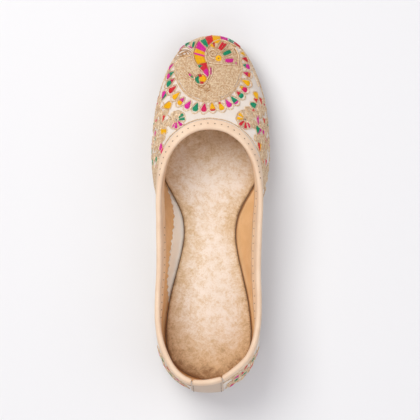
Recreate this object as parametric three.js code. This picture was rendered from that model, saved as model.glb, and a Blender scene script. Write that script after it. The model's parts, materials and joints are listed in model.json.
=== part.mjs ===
// A mojari: a flat slip-on ceremonial shoe on a straight last, for either foot.
// Frame: millimetres, +Z up, +Y to the toe, +X to the right. The origin is on the floor, in the
// middle of the shoe's length and width. The shoe is the same on both sides of the plane x = 0,
// but for the collar at the heel, which is set on a slant.

import * as THREE from 'three';
import { LoftGeometry } from 'three/addons/geometries/LoftGeometry.js';

// Driving dimensions of the last and the shoe.
const LENGTH = 250;
const BALL_WIDTH = 82;
const INSTEP_HEIGHT = 48.2; // floor to the rim of the wall at the throat
const SIDE_HEIGHT = 42.5; // floor to the rim at the waist, its lowest place
const HEEL_HEIGHT = 56; // floor to the rim at the back seam
const SOLE = 4; // outsole leather
const HEEL_SEAT = 6; // the heel seat's underside above the floor
const TOE_SPRING = 5.5; // the sole tip's underside above the floor

// Leather thicknesses, and the gap between pieces that meet.
const WALL = 1.6;
const SEAT_WALL = 1.9; // the slanting wall, measured level where it leaves the sole
const LEAF = 1;
const PAD = 2.6;
const GAP = 0.3;

// Margins and folds.
const LASTING_MARGIN = 6; // the upper's edge turned in under the insole
const SOLE_EDGE = 1.3; // the outsole stands out past the upper's seat by this
const HEEL_EDGE = 0.8; // the heel lift stands out past the upper's seat by this
const BINDING_DEPTH = 5; // each leaf of the collar binding, down from the rim
const TAB_INSIDE = 6; // the heel tab's leaf inside the collar
const HEEL_SKEW = 0.12; // slope of the collar across the heel, right side forward
const CHAMFER = 0.7;

// Stations along the last, from the middle of the length.
const BREAST_Y = -66; // front face of the heel lift
const SHANK_BACK_Y = -64; // the sole leaves the heel seat's level here
const SHANK_FRONT_Y = 10; // and comes down to the floor here
const TREAD_FRONT_Y = 65; // the toe spring starts here
const WAIST_Y = -15; // lowest place of the topline
const SKEW_FROM_Y = -96;
const SKEW_TO_Y = -113;

// Shape factors of the wall's two arcs.
const SEAT_FLARE = THREE.MathUtils.degToRad(55); // the wall leaves the sole at this slope
const SEAT_PULL = 0.35;
const WIDE_PULL = 0.42;
const RIM_PULL = 0.5;
const HEEL_RISE = 1.6;
const INSTEP_RISE = 1.5;

const HALF_LENGTH = LENGTH / 2;
const HALF_WIDTH = BALL_WIDTH / 2;

// Sections of the right half, from the back seam to the toe tip, each through three lines of the
// last: `wide`, where the wall is widest, `rim`, the wall's top edge, and `seat`, its bottom edge.
// X columns are parts of half the ball width and Y columns are parts of half the length. wideUp is
// the height of the widest line above the sole, in mm. bearing is the direction square to the rim
// in plan, fall the wall's slope at the rim and lean its slope at the widest line, in degrees.
const COLUMNS = [
  'wideX', 'wideY', 'wideUp', 'rimX', 'rimY', 'seatX', 'seatY', 'bearing', 'fall', 'lean',
];
const SECTIONS = [
  [0, -0.990, 13, 0, -0.936, 0, -0.950, -90, 80, 90], // back seam
  [0.268, -0.981, 13, 0.256, -0.925, 0.263, -0.938, -74, 80, 90],
  [0.517, -0.938, 13, 0.476, -0.883, 0.493, -0.898, -52, 80, 90],
  [0.737, -0.853, 13, 0.673, -0.813, 0.693, -0.832, -30, 81, 90],
  [0.866, -0.736, 14, 0.810, -0.712, 0.793, -0.728, -12, 84, 89], // middle of the heel
  [0.893, -0.600, 15, 0.873, -0.596, 0.785, -0.596, -3, 90, 87],
  [0.849, -0.440, 16, 0.876, -0.440, 0.710, -0.440, 0, 98, 82],
  [0.761, -0.288, 17, 0.859, -0.288, 0.595, -0.288, 0, 106, 75],
  [0.717, -0.136, 17, 0.868, -0.136, 0.502, -0.136, 0, 110, 71], // waist
  [0.780, -0.008, 16, 0.883, -0.008, 0.541, -0.008, 0, 104, 77],
  [0.912, 0.104, 13, 0.883, 0.100, 0.722, 0.108, 0, 95, 88],
  [0.976, 0.224, 12, 0.854, 0.204, 0.888, 0.216, 8, 80, 90],
  [0.998, 0.352, 11, 0.771, 0.301, 0.927, 0.344, 22, 58, 90], // ball
  [0.980, 0.480, 11, 0.673, 0.362, 0.907, 0.472, 38, 44, 90],
  [0.927, 0.612, 11, 0.556, 0.411, 0.854, 0.600, 50, 35, 90],
  [0.827, 0.740, 10, 0.415, 0.448, 0.751, 0.723, 59, 29, 90],
  [0.676, 0.856, 9, 0.276, 0.472, 0.607, 0.832, 68, 26, 90],
  [0.473, 0.944, 8, 0.166, 0.482, 0.420, 0.915, 77, 23.5, 90],
  [0.244, 0.987, 7, 0.080, 0.486, 0.215, 0.957, 84, 22, 90],
  [0, 1, 7, 0, 0.488, 0, 0.970, 90, 22, 90], // toe tip
];
const TOE = SECTIONS.length - 1; // a place round the shoe is a section number, negative on the left
const TAB_HALF = 1; // the heel tab reaches one section to each side of the back seam
const TAB_CLEARANCE = 0.06;

const SECTION_STEP = 0.5;
const LOW_STEPS = 4; // facets up the wall's lower arc, and up its upper arc to the binding
const HIGH_STEPS = 8;
const BINDING_DOWNS = [0, BINDING_DEPTH / 2, BINDING_DEPTH];

// Height of the rim above the floor.
function toplineHeight(y) {
  const back = y < WAIST_Y;
  const end = (back ? SECTIONS[0] : SECTIONS[TOE])[COLUMNS.indexOf('rimY')] * HALF_LENGTH;
  const part = (y - WAIST_Y) / (end - WAIST_Y);
  const rise = back ? HEEL_HEIGHT - SIDE_HEIGHT : INSTEP_HEIGHT - SIDE_HEIGHT;
  return SIDE_HEIGHT + rise * Math.max(part, 0) ** (back ? HEEL_RISE : INSTEP_RISE);
}

// Height of the outsole's underside: heel seat, arch, flat tread and toe spring.
function soleUnderside(y) {
  if (y > TREAD_FRONT_Y) {
    return TOE_SPRING * ((y - TREAD_FRONT_Y) / (HALF_LENGTH - TREAD_FRONT_Y)) ** 2;
  }
  return HEEL_SEAT * (1 - THREE.MathUtils.smootherstep(y, SHANK_BACK_Y, SHANK_FRONT_Y));
}

// A row of the other half, which runs the curves on past the back seam and the toe tip.
function mirrored(row, end) {
  return row.map((value, i) => {
    if (COLUMNS[i].endsWith('X')) return -value;
    if (COLUMNS[i] === 'bearing') return 2 * end[i] - value;
    return value;
  });
}

const places = new Float32Array(SECTIONS.length + 4).map((_, i) => i - 2);
const values = new Float32Array([
  ...mirrored(SECTIONS[2], SECTIONS[0]),
  ...mirrored(SECTIONS[1], SECTIONS[0]),
  ...SECTIONS.flat(),
  ...mirrored(SECTIONS[TOE - 1], SECTIONS[TOE]),
  ...mirrored(SECTIONS[TOE - 2], SECTIONS[TOE]),
]);
const between = new THREE.CubicInterpolant(places, values, COLUMNS.length);

// The section's values at any place round the shoe.
function sectionAt(place) {
  const on = Math.abs(place) > TOE ? place - Math.sign(place) * 2 * TOE : place;
  const row = between.evaluate(Math.abs(on));
  const named = Object.fromEntries(COLUMNS.map((name, i) => [name, row[i]]));
  return { ...named, side: on < 0 ? -1 : 1 };
}

function seatPoint(place) {
  const { side, seatX, seatY } = sectionAt(place);
  return new THREE.Vector3(side * seatX * HALF_WIDTH, seatY * HALF_LENGTH, 0);
}

// A point inside the seat line by inset, and up from the sole's top.
function besideSeat(place, inset, up) {
  const step = 0.02;
  const along = seatPoint(place + step).sub(seatPoint(place - step)).normalize();
  const point = seatPoint(place).add(new THREE.Vector3(-along.y, along.x, 0).multiplyScalar(inset));
  return point.setZ(soleUnderside(point.y) + SOLE + up);
}

// The wall's outer profile at a place: the arc from seat to widest line, and on to the rim.
function wallArcs(place) {
  const section = sectionAt(place);
  const { side, wideX, wideY, wideUp, rimX, rimY, bearing, fall, lean } = section;
  const seat = besideSeat(place, 0, GAP);
  const wide = new THREE.Vector3(side * wideX * HALF_WIDTH, wideY * HALF_LENGTH, 0);
  wide.z = soleUnderside(wide.y) + SOLE + wideUp;
  const rim = new THREE.Vector3(side * rimX * HALF_WIDTH, rimY * HALF_LENGTH, 0);
  rim.z = toplineHeight(rim.y);
  rim.y += HEEL_SKEW * rim.x * (1 - THREE.MathUtils.smoothstep(rim.y, SKEW_TO_Y, SKEW_FROM_Y));

  const outward = wide.clone().sub(seat).setZ(0).normalize();
  const flare = slope(outward, SEAT_FLARE);
  const rise = slope(outward, THREE.MathUtils.degToRad(lean));
  const turn = THREE.MathUtils.degToRad(bearing);
  const square = new THREE.Vector3(side * Math.cos(turn), Math.sin(turn), 0);
  const drop = slope(square, -THREE.MathUtils.degToRad(fall));

  const low = seat.distanceTo(wide);
  const high = wide.distanceTo(rim);
  return [
    new THREE.CubicBezierCurve3(
      seat,
      seat.clone().addScaledVector(flare, SEAT_PULL * low),
      wide.clone().addScaledVector(rise, -WIDE_PULL * low),
      wide,
    ),
    new THREE.CubicBezierCurve3(
      wide,
      wide.clone().addScaledVector(rise, WIDE_PULL * (rim.z - wide.z)),
      rim.clone().addScaledVector(drop, RIM_PULL * high),
      rim,
    ),
  ];
}

// A unit vector that climbs at an angle along a level direction.
function slope(level, angle) {
  return level.clone().multiplyScalar(Math.cos(angle)).setZ(Math.sin(angle));
}

// A point of the wall's outer face: up is 0 at the seat, 1 at the widest line and 2 at the rim.
function wallPoint(place, up) {
  const [low, high] = wallArcs(place);
  return up < 1 ? low.getPoint(up) : high.getPoint(up - 1);
}

function wallNormal(place, up) {
  const step = 0.02;
  const along = wallPoint(place + step, up).sub(wallPoint(place - step, up));
  const below = Math.max(up - step, 0);
  const rise = wallPoint(place, Math.min(up + step, 2)).sub(wallPoint(place, below));
  return along.cross(rise).normalize();
}

// A point off the wall's outer face, outward where out is positive.
function offWall(place, up, out) {
  return wallPoint(place, up).addScaledVector(wallNormal(place, up), out);
}

// How far up the wall a distance down from the rim is.
function upBelowRim(place, down) {
  const high = wallArcs(place)[1];
  return 1 + high.getUtoTmapping(0, high.getLength() - down);
}

function belowRim(place, down, out) {
  return offWall(place, upBelowRim(place, down), out);
}

// The heights up the wall at which the upper has facets, from the seat to the rim. Those near the
// rim are the binding's own, so that the two pieces' facets lie side by side.
function wallHeights(place) {
  const edge = upBelowRim(place, BINDING_DEPTH);
  const low = Array.from({ length: LOW_STEPS - 1 }, (_, i) => (i + 1) / LOW_STEPS);
  const high = Array.from({ length: HIGH_STEPS }, (_, i) => 1 + (edge - 1) * i / HIGH_STEPS);
  return [...low, ...high, edge, upBelowRim(place, BINDING_DEPTH / 2), 2];
}

// A point on a round of the given radius over the rim, from 0 degrees outside to 180 inside.
function overRim(place, radius, degrees) {
  const angle = THREE.MathUtils.degToRad(degrees);
  const normal = wallNormal(place, 2);
  const rise = wallArcs(place)[1].getTangent(1);
  return offWall(place, 2, -WALL / 2)
    .addScaledVector(normal, radius * Math.cos(angle))
    .addScaledVector(rise, radius * Math.sin(angle));
}

// Places from one to another. All pieces share the places that are whole steps, so that their
// facets lie side by side.
function placesBetween(from, to) {
  const first = Math.floor(from / SECTION_STEP) + 1;
  const last = Math.ceil(to / SECTION_STEP) - 1;
  const steps = Array.from({ length: last - first + 1 }, (_, i) => (first + i) * SECTION_STEP);
  return [from, ...steps, to];
}

// Upper: a hollow shell, open at the collar and underneath, its lasting margin turned in.
function upperGeometry() {
  const sections = placesBetween(-TOE, TOE).map((place) => [
    besideSeat(place, LASTING_MARGIN, GAP),
    besideSeat(place, LASTING_MARGIN, GAP + WALL),
    besideSeat(place, SEAT_WALL, GAP + WALL),
    ...wallHeights(place).map((up) => offWall(place, up, -WALL)),
    ...wallHeights(place).reverse().map((up) => wallPoint(place, up)),
    besideSeat(place, 0, GAP),
  ]);
  return new LoftGeometry(sections);
}

// A piece that follows the seat line from the back to a place on both sides: each step of its
// edge is an inset and a height. Its first section closes on itself, and so does one at the toe.
function soleGeometry(edge, to) {
  const sections = placesBetween(0, to).map((place) => {
    const left = edge.map(([inset, height]) => height(besideSeat(-place, inset, 0)));
    const right = edge.map(([inset, height]) => height(besideSeat(place, inset, 0)));
    return [...left, ...right.reverse()];
  });
  return new LoftGeometry(sections, { capEnd: to < TOE });
}

// Heights for an edge's steps: above the sole's top, or at a level above the floor.
const aboveSole = (up) => (point) => point.setZ(point.z + up);
const atLevel = (z) => (point) => point.setZ(z);

function outsoleGeometry() {
  const edge = [
    [CHAMFER - SOLE_EDGE, aboveSole(-SOLE)],
    [-SOLE_EDGE, aboveSole(CHAMFER - SOLE)],
    [-SOLE_EDGE, aboveSole(-CHAMFER)],
    [CHAMFER - SOLE_EDGE, aboveSole(0)],
  ];
  return soleGeometry(edge, TOE);
}

function heelLiftGeometry() {
  const top = HEEL_SEAT - GAP;
  const edge = [
    [CHAMFER - HEEL_EDGE, atLevel(0)],
    [-HEEL_EDGE, atLevel(CHAMFER)],
    [-HEEL_EDGE, atLevel(top)],
  ];
  return soleGeometry(edge, placeAt(BREAST_Y));
}

// Insole: a pad with a rebate round its underside, which takes the upper's lasting margin.
function insoleGeometry() {
  const rebate = LASTING_MARGIN + GAP;
  const side = SEAT_WALL + 2 * GAP;
  const step = GAP + WALL + GAP;
  const edge = [
    [rebate, aboveSole(GAP)],
    [rebate, aboveSole(step)],
    [side, aboveSole(step)],
    [side, aboveSole(step + PAD - CHAMFER)],
    [side + CHAMFER, aboveSole(step + PAD)],
  ];
  return soleGeometry(edge, TOE);
}

// The section number at which the seat line reaches a station.
function placeAt(y) {
  const after = SECTIONS.findIndex((row) => row[COLUMNS.indexOf('seatY')] * HALF_LENGTH > y);
  const [before, next] = [after - 1, after].map((number) => seatPoint(number).y);
  return after - 1 + (y - before) / (next - before);
}

// Leather folded over the rim, in section: leaves down both faces of the wall, a round over it.
function foldSection(place, insideDowns, outsideUps) {
  const outer = WALL / 2 + GAP + LEAF;
  const inner = WALL / 2 + GAP;
  const downs = [...insideDowns].reverse();
  return [
    ...downs.map((down) => belowRim(place, down, -WALL - GAP - LEAF)),
    ...[135, 90, 45].map((degrees) => overRim(place, outer, degrees)),
    ...outsideUps.map((point) => point(place, GAP + LEAF)),
    ...[...outsideUps].reverse().map((point) => point(place, GAP)),
    overRim(place, inner, 90),
    ...insideDowns.map((down) => belowRim(place, down, -WALL - GAP)),
  ];
}

// The binding runs from one edge of the heel tab round the throat to its other edge.
function bindingGeometry() {
  const outside = BINDING_DOWNS.map((down) => (place, out) => belowRim(place, down, out));
  const start = TAB_HALF + TAB_CLEARANCE;
  const sections = placesBetween(start, 2 * TOE - start)
    .map((place) => foldSection(place, BINDING_DOWNS, outside));
  return new LoftGeometry(sections, { capStart: true, capEnd: true });
}

// The heel tab covers the back seam from inside the collar down to the sole.
function heelTabGeometry() {
  const downs = [0, TAB_INSIDE / 2, TAB_INSIDE];
  const outside = [2, 1.8, 1.6, 1.4, 1.2, 1, 0.75, 0.5, 0.3]
    .map((up) => (place, out) => offWall(place, up, out));
  const sections = placesBetween(-TAB_HALF, TAB_HALF)
    .map((place) => foldSection(place, downs, outside));
  return new LoftGeometry(sections, { capStart: true, capEnd: true });
}

const pieces = [
  ['outsole', outsoleGeometry(), { color: 0xb98a5e, roughness: 0.75, metalness: 0 }],
  ['heel_lift', heelLiftGeometry(), { color: 0x8f6a48, roughness: 0.7, metalness: 0 }],
  ['upper', upperGeometry(), { color: 0xf0e8dc, roughness: 0.8, metalness: 0 }],
  ['insole', insoleGeometry(), { color: 0xe1c8aa, roughness: 0.9, metalness: 0 }],
  ['topline_binding', bindingGeometry(), { color: 0xf7d9b8, roughness: 0.5, metalness: 0 }],
  ['heel_tab', heelTabGeometry(), { color: 0xf3d4b2, roughness: 0.5, metalness: 0 }],
];

const mojari = new THREE.Group();
mojari.name = 'mojari';
for (const [name, geometry, finish] of pieces) {
  const mesh = new THREE.Mesh(geometry, new THREE.MeshStandardMaterial(finish));
  mesh.name = name;
  mojari.add(mesh);
}

export default mojari;
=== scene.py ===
"""The finished look of a mojari: an embroidered ivory slip-on with a bound collar and a velvet insole.

Metres, +Z up, +Y to the toe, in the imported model's frame. Sizes named in millimetres are scaled by MM.
"""
import json
import math
import random

import bmesh
import bpy
from mathutils import Matrix, Vector, noise
from mathutils.bvhtree import BVHTree

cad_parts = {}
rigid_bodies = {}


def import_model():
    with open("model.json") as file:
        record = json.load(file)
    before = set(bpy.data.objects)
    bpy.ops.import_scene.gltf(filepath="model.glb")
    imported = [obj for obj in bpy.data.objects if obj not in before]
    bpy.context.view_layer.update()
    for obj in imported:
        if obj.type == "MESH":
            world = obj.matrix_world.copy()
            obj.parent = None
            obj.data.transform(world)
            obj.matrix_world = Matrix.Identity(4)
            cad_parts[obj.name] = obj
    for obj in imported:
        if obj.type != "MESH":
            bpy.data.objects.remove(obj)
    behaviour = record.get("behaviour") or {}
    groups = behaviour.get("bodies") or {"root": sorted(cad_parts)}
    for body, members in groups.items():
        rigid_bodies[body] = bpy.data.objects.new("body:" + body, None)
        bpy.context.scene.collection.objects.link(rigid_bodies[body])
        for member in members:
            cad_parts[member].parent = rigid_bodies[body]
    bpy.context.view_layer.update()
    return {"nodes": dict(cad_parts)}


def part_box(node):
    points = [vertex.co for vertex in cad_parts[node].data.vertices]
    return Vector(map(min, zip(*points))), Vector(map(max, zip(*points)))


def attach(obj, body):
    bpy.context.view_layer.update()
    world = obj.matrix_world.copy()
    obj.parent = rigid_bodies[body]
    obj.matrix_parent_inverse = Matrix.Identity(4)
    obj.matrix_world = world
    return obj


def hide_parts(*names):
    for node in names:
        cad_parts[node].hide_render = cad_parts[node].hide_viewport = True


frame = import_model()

MM = 0.001
UP = Vector((0, 0, 1))
scene = bpy.context.scene
rng = random.Random(7)

UPPER_LOW, UPPER_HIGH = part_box("upper")
TOE_Y = UPPER_HIGH.y
HEEL_Y = UPPER_LOW.y
HALF_WIDTH = UPPER_HIGH.x
HEEL_CENTRE_Y = HEEL_Y + HALF_WIDTH  # the heel's round is centred here, and the toe's ahead
TOE_CENTRE_Y = TOE_Y - 42 * MM
SPINE_Z = 22 * MM  # a line inside the shoe that every wall can be seen from

# Thread colours, linear.
SILKS = {
    "magenta": (0.80, 0.025, 0.36),
    "crimson": (0.78, 0.015, 0.13),
    "red": (0.76, 0.030, 0.045),
    "green": (0.012, 0.33, 0.155),
    "yellow": (1.0, 0.54, 0.002),
    "orange": (0.85, 0.24, 0.025),
}


# ---------------------------------------------------------------- meshes

def add_object(name, mesh):
    obj = bpy.data.objects.new(name, mesh)
    scene.collection.objects.link(obj)
    return obj


def from_bmesh(name, bm):
    mesh = bpy.data.meshes.new(name)
    bm.to_mesh(mesh)
    bm.free()
    mesh.shade_smooth()
    return add_object(name, mesh)


def baked(obj):
    """The object with its modifiers applied."""
    bpy.context.view_layer.update()
    mesh = bpy.data.meshes.new_from_object(obj.evaluated_get(bpy.context.evaluated_depsgraph_get()))
    name = obj.name
    old = obj.data
    bpy.data.objects.remove(obj)
    bpy.data.batch_remove([old])
    mesh.name = name
    mesh.shade_smooth()
    return add_object(name, mesh)


def merged(node):
    """A CAD node's mesh with its corners joined and its triangles paired into quads."""
    bm = bmesh.new()
    bm.from_mesh(frame["nodes"][node].data)
    bmesh.ops.remove_doubles(bm, verts=bm.verts, dist=0.002 * MM)
    bmesh.ops.join_triangles(
        bm, faces=bm.faces, angle_face_threshold=math.pi, angle_shape_threshold=math.pi
    )
    return bm


def subdivided(obj, levels):
    smooth = obj.modifiers.new("smooth", "SUBSURF")
    smooth.levels = levels
    smooth.render_levels = levels
    return baked(obj)


def paint(obj, material, slot, *nodes):
    """Gives a finished piece its material and its body, and hides the CAD nodes it stands for."""
    obj.data.materials.clear()
    obj.data.materials.append(material)
    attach(obj, "root")
    if nodes:
        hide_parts(*nodes)
    return obj


# ---------------------------------------------------------------- materials

SOCKETS = {"colour": "NodeSocketColor", "value": "NodeSocketFloat", "vector": "NodeSocketVector"}


def link(tree, source, target):
    tree.links.new(source, target)


def new_group(name, colours, values, outputs):
    """A shader node group, with its inputs and its outputs by name."""
    tree = bpy.data.node_groups.new(name, "ShaderNodeTree")
    for label in colours:
        tree.interface.new_socket(label, in_out="INPUT", socket_type=SOCKETS["colour"])
    for label in values:
        tree.interface.new_socket(label, in_out="INPUT", socket_type=SOCKETS["value"])
    for label, kind in outputs.items():
        tree.interface.new_socket(label, in_out="OUTPUT", socket_type=SOCKETS[kind])
    return tree, tree.nodes.new("NodeGroupInput").outputs, tree.nodes.new("NodeGroupOutput").inputs


def math_node(tree, operation, *values):
    node = tree.nodes.new("ShaderNodeMath")
    node.operation = operation
    for socket, value in zip(node.inputs, values):
        if isinstance(value, (int, float)):
            socket.default_value = value
        else:
            link(tree, value, socket)
    return node.outputs[0]


def plus(tree, a, b):
    return math_node(tree, "ADD", a, b)


def times(tree, a, b):
    return math_node(tree, "MULTIPLY", a, b)


def mix_colour(tree, factor, a, b):
    node = tree.nodes.new("ShaderNodeMix")
    node.data_type = "RGBA"
    for socket, value in ((node.inputs[0], factor), (node.inputs[6], a), (node.inputs[7], b)):
        link(tree, value, socket)
    return node.outputs[2]


def object_point(tree):
    return tree.nodes.new("ShaderNodeTexCoord").outputs["Object"]


def attribute(tree, name, output="Fac"):
    node = tree.nodes.new("ShaderNodeAttribute")
    node.attribute_name = name
    return node.outputs[output]


def split(tree, vector):
    """The three parts of a vector."""
    node = tree.nodes.new("ShaderNodeSeparateXYZ")
    link(tree, vector, node.inputs["Vector"])
    return node.outputs


def noise_node(tree, point, scale, detail, roughness=0.5):
    node = tree.nodes.new("ShaderNodeTexNoise")
    node.inputs["Scale"].default_value = scale
    node.inputs["Detail"].default_value = detail
    node.inputs["Roughness"].default_value = roughness
    link(tree, point, node.inputs["Vector"])
    return node


def noise_value(tree, point, scale, detail=3, roughness=0.55):
    return noise_node(tree, point, scale, detail, roughness).outputs["Fac"]


def ramp(tree, value, low, high):
    """A value stretched so that low gives 0 and high gives 1."""
    node = tree.nodes.new("ShaderNodeMapRange")
    node.interpolation_type = "SMOOTHSTEP"
    node.inputs["From Min"].default_value = low
    node.inputs["From Max"].default_value = high
    link(tree, value, node.inputs["Value"])
    return node.outputs["Result"]


def bump(tree, height, distance):
    node = tree.nodes.new("ShaderNodeBump")
    node.inputs["Strength"].default_value = 1.0
    link(tree, height, node.inputs["Height"])
    if isinstance(distance, bpy.types.NodeSocket):
        link(tree, distance, node.inputs["Distance"])
    else:
        node.inputs["Distance"].default_value = distance
    return node.outputs["Normal"]


def leather_group():
    """Fine pebbled grain with a slow change of tone and painted shade in its crevices; where the piece is
    marked, painted shade with a greyer tone.
    """
    tree, given, out = new_group(
        "leather_grain", ["Light", "Dark", "Tint"], ["Cells", "Depth"],
        {"Colour": "colour", "Roughness": "value", "Normal": "vector"},
    )
    point = object_point(tree)
    cells = tree.nodes.new("ShaderNodeTexVoronoi")
    cells.feature = "DISTANCE_TO_EDGE"
    link(tree, point, cells.inputs["Vector"])
    link(tree, given["Cells"], cells.inputs["Scale"])
    pebble = ramp(tree, cells.outputs["Distance"], 0.0, 0.35)
    tone = ramp(tree, noise_value(tree, point, 70, 4), 0.3, 0.7)
    # Painted shade in the crevices between the pebbles.
    crevice = times(tree, math_node(tree, "SUBTRACT", 1.0, pebble), 0.35)
    shade = plus(tree, times(tree, tone, 0.6), crevice)
    colour = mix_colour(tree, shade, given["Light"], given["Dark"])
    height = plus(tree, pebble, times(tree, noise_value(tree, point, 2600, 2), 0.5))
    # Painted shade, with a greyer tone, where the piece is marked.
    link(tree, mix_colour(tree, attribute(tree, "shade_tint"), colour, given["Tint"]), out["Colour"])
    link(tree, math_node(tree, "MULTIPLY_ADD", tone, 0.12, 0.44), out["Roughness"])
    link(tree, bump(tree, height, given["Depth"]), out["Normal"])
    return tree


def cloth_group():
    """A plain weave laid on whichever plane the surface faces, with slubs."""
    tree, given, out = new_group(
        "woven_cloth", ["Light", "Dark"], ["Threads", "Depth"], {"Colour": "colour", "Normal": "vector"}
    )
    point = object_point(tree)
    facing = split(tree, tree.nodes.new("ShaderNodeTexCoord").outputs["Normal"])
    x, y, z = (
        math_node(tree, "SINE", times(tree, axis, given["Threads"])) for axis in split(tree, point)
    )
    weave = None
    for (a, b), axis in zip(((y, z), (x, z), (x, y)), facing):
        part = times(tree, times(tree, a, b), times(tree, axis, axis))
        weave = part if weave is None else plus(tree, weave, part)
    slub = noise_value(tree, point, 900, 3)
    slow = ramp(tree, noise_value(tree, point, 45, 4), 0.35, 0.7)
    shade = plus(tree, times(tree, slow, 0.6), times(tree, slub, 0.35))
    link(tree, mix_colour(tree, shade, given["Light"], given["Dark"]), out["Colour"])
    link(tree, bump(tree, plus(tree, weave, slub), given["Depth"]), out["Normal"])
    return tree


def thread_group():
    """Twisted yarn: the ply winds round each thread, its grooves darkened as painted shade, and each thread
    has its own tone.
    """
    tree, given, out = new_group(
        "twisted_thread", ["Light", "Dark"], ["Turns", "Depth", "Speckle"],
        {"Colour": "colour", "Roughness": "value", "Normal": "vector"},
    )
    side = split(tree, attribute(tree, "round", "Vector"))
    turn = times(tree, attribute(tree, "along"), given["Turns"])
    wave = plus(
        tree,
        times(tree, math_node(tree, "SINE", turn), side["X"]),
        times(tree, math_node(tree, "COSINE", turn), side["Y"]),
    )
    ply = math_node(tree, "MULTIPLY_ADD", wave, 0.5, 0.5)
    # Painted shade: the ply's grooves are darkened.
    groove = times(tree, math_node(tree, "SUBTRACT", 1.0, ply), 0.4)
    speckle = ramp(tree, noise_value(tree, object_point(tree), 800, 2, 0.6), 0.35, 0.65)
    shade = plus(tree, groove, times(tree, attribute(tree, "tone"), 0.3))
    shade = plus(tree, shade, times(tree, speckle, given["Speckle"]))
    link(tree, mix_colour(tree, shade, given["Light"], given["Dark"]), out["Colour"])
    link(tree, math_node(tree, "MULTIPLY_ADD", groove, 0.4, 0.34), out["Roughness"])
    link(tree, bump(tree, ply, given["Depth"]), out["Normal"])
    return tree


def pile_group():
    """Crushed velvet: patches of pile lie different ways, and catch more or less light, and painted shade
    darkens the pile where its edge mark is high.
    """
    tree, given, out = new_group(
        "crushed_pile", ["Light", "Middle", "Dark"], [],
        {"Colour": "colour", "Roughness": "value", "Normal": "vector"},
    )
    point = object_point(tree)
    move = tree.nodes.new("ShaderNodeVectorMath")
    move.operation = "SCALE"
    move.inputs["Scale"].default_value = 0.009
    link(tree, noise_node(tree, point, 60, 3).outputs["Color"], move.inputs[0])
    moved = tree.nodes.new("ShaderNodeVectorMath")
    link(tree, point, moved.inputs[0])
    link(tree, move.outputs["Vector"], moved.inputs[1])
    twisted = moved.outputs["Vector"]
    patches = noise_value(tree, twisted, 150, 8, 0.72)
    broad = noise_value(tree, twisted, 24, 3, 0.5)
    fibres = noise_value(tree, twisted, 700, 6, 0.85)
    lie = plus(tree, plus(tree, patches, times(tree, broad, 0.35)), fibres)
    # Painted shade, with some darker lie of the pile: the edge mark darkens the rim, the heel and the pile
    # under the vamp.
    painted_pile_shade = times(tree, attribute(tree, "edge"), 0.7)
    lie_and_shade = math_node(tree, "SUBTRACT", ramp(tree, lie, 0.66, 1.5), painted_pile_shade)
    low = mix_colour(tree, ramp(tree, lie_and_shade, -0.6, 0.4), given["Dark"], given["Middle"])
    link(tree, mix_colour(tree, ramp(tree, lie_and_shade, 0.2, 0.9), low, given["Light"]), out["Colour"])
    link(tree, math_node(tree, "MULTIPLY_ADD", fibres, 0.2, 0.75), out["Roughness"])
    link(tree, bump(tree, plus(tree, fibres, patches), 0.5 * MM), out["Normal"])
    return tree


def finish(name, group, values, **sockets):
    """A material of one Principled shader whose pattern comes from a group, and its plain values."""
    material = bpy.data.materials.new(name)
    material.use_nodes = True
    tree = material.node_tree
    shader = tree.nodes["Principled BSDF"]
    placed = tree.nodes.new("ShaderNodeGroup")
    placed.node_tree = group
    for label, value in values.items():
        placed.inputs[label].default_value = (*value, 1) if isinstance(value, tuple) else value
    for label, target in (("Colour", "Base Color"), ("Roughness", "Roughness"), ("Normal", "Normal")):
        if label in placed.outputs:
            link(tree, placed.outputs[label], shader.inputs[target])
    for label, value in sockets.items():
        shader.inputs[label.replace("_", " ")].default_value = value
    return material


def leather(name, light, dark, cells, depth, shade_tint=None, gloss=0.5):
    values = {"Light": light, "Dark": dark, "Cells": cells, "Depth": depth * MM}
    if shade_tint:
        values["Tint"] = shade_tint
    return finish(name, LEATHER, values, Specular_IOR_Level=gloss)


def cloth(name, light, dark, threads, depth, **sockets):
    values = {"Light": light, "Dark": dark, "Threads": threads, "Depth": depth * MM}
    return finish(name, CLOTH, values, **sockets)


def yarn(name, light, dark, turns, depth, speckle, **sockets):
    values = {"Light": light, "Dark": dark, "Turns": turns, "Depth": depth * MM, "Speckle": speckle}
    return finish(name, THREAD, values, **sockets)


LEATHER = leather_group()
CLOTH = cloth_group()
THREAD = thread_group()
PILE = pile_group()

# Depths are in millimetres; cells, threads and turns are counts a metre.
ivory_cloth = cloth(
    "ivory_cloth", (0.89, 0.815, 0.725), (0.78, 0.69, 0.58), 14000, 0.05, Roughness=0.72, Sheen_Weight=0.15
)
canvas = cloth("canvas", (1.0, 0.95, 0.83), (0.95, 0.86, 0.72), 9000, 0.08, Roughness=0.85)
# Its third colour is painted shade, with a greyer tone, for the strap's back face.
peach_leather = leather(
    "peach_leather", (0.885, 0.69, 0.495), (0.795, 0.57, 0.385), 1300, 0.03, (0.62, 0.48, 0.36), 0.35
)
facing_leather = leather(
    "facing_leather", (0.90, 0.66, 0.43), (0.80, 0.54, 0.33), 1300, 0.03, gloss=0.35
)
lining_leather = leather(
    "lining_leather", (0.90, 0.58, 0.30), (0.76, 0.45, 0.20), 1600, 0.03, gloss=0.25
)
sole_leather = leather("sole_leather", (0.52, 0.32, 0.17), (0.36, 0.20, 0.09), 700, 0.06)
heel_leather = leather("heel_leather", (0.30, 0.17, 0.085), (0.18, 0.09, 0.04), 600, 0.05)
velvet = finish(
    "velvet", PILE,
    {"Light": (0.95, 0.85, 0.73), "Middle": (0.76, 0.56, 0.335), "Dark": (0.30, 0.165, 0.075)},
    Sheen_Weight=0.3, Specular_IOR_Level=0.2,
)
zari = yarn(
    "zari", (1.0, 0.885, 0.655), (0.63, 0.385, 0.185), 5200, 0.10, 0.55,
    Metallic=0.3, Specular_IOR_Level=0.6,
)
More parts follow.
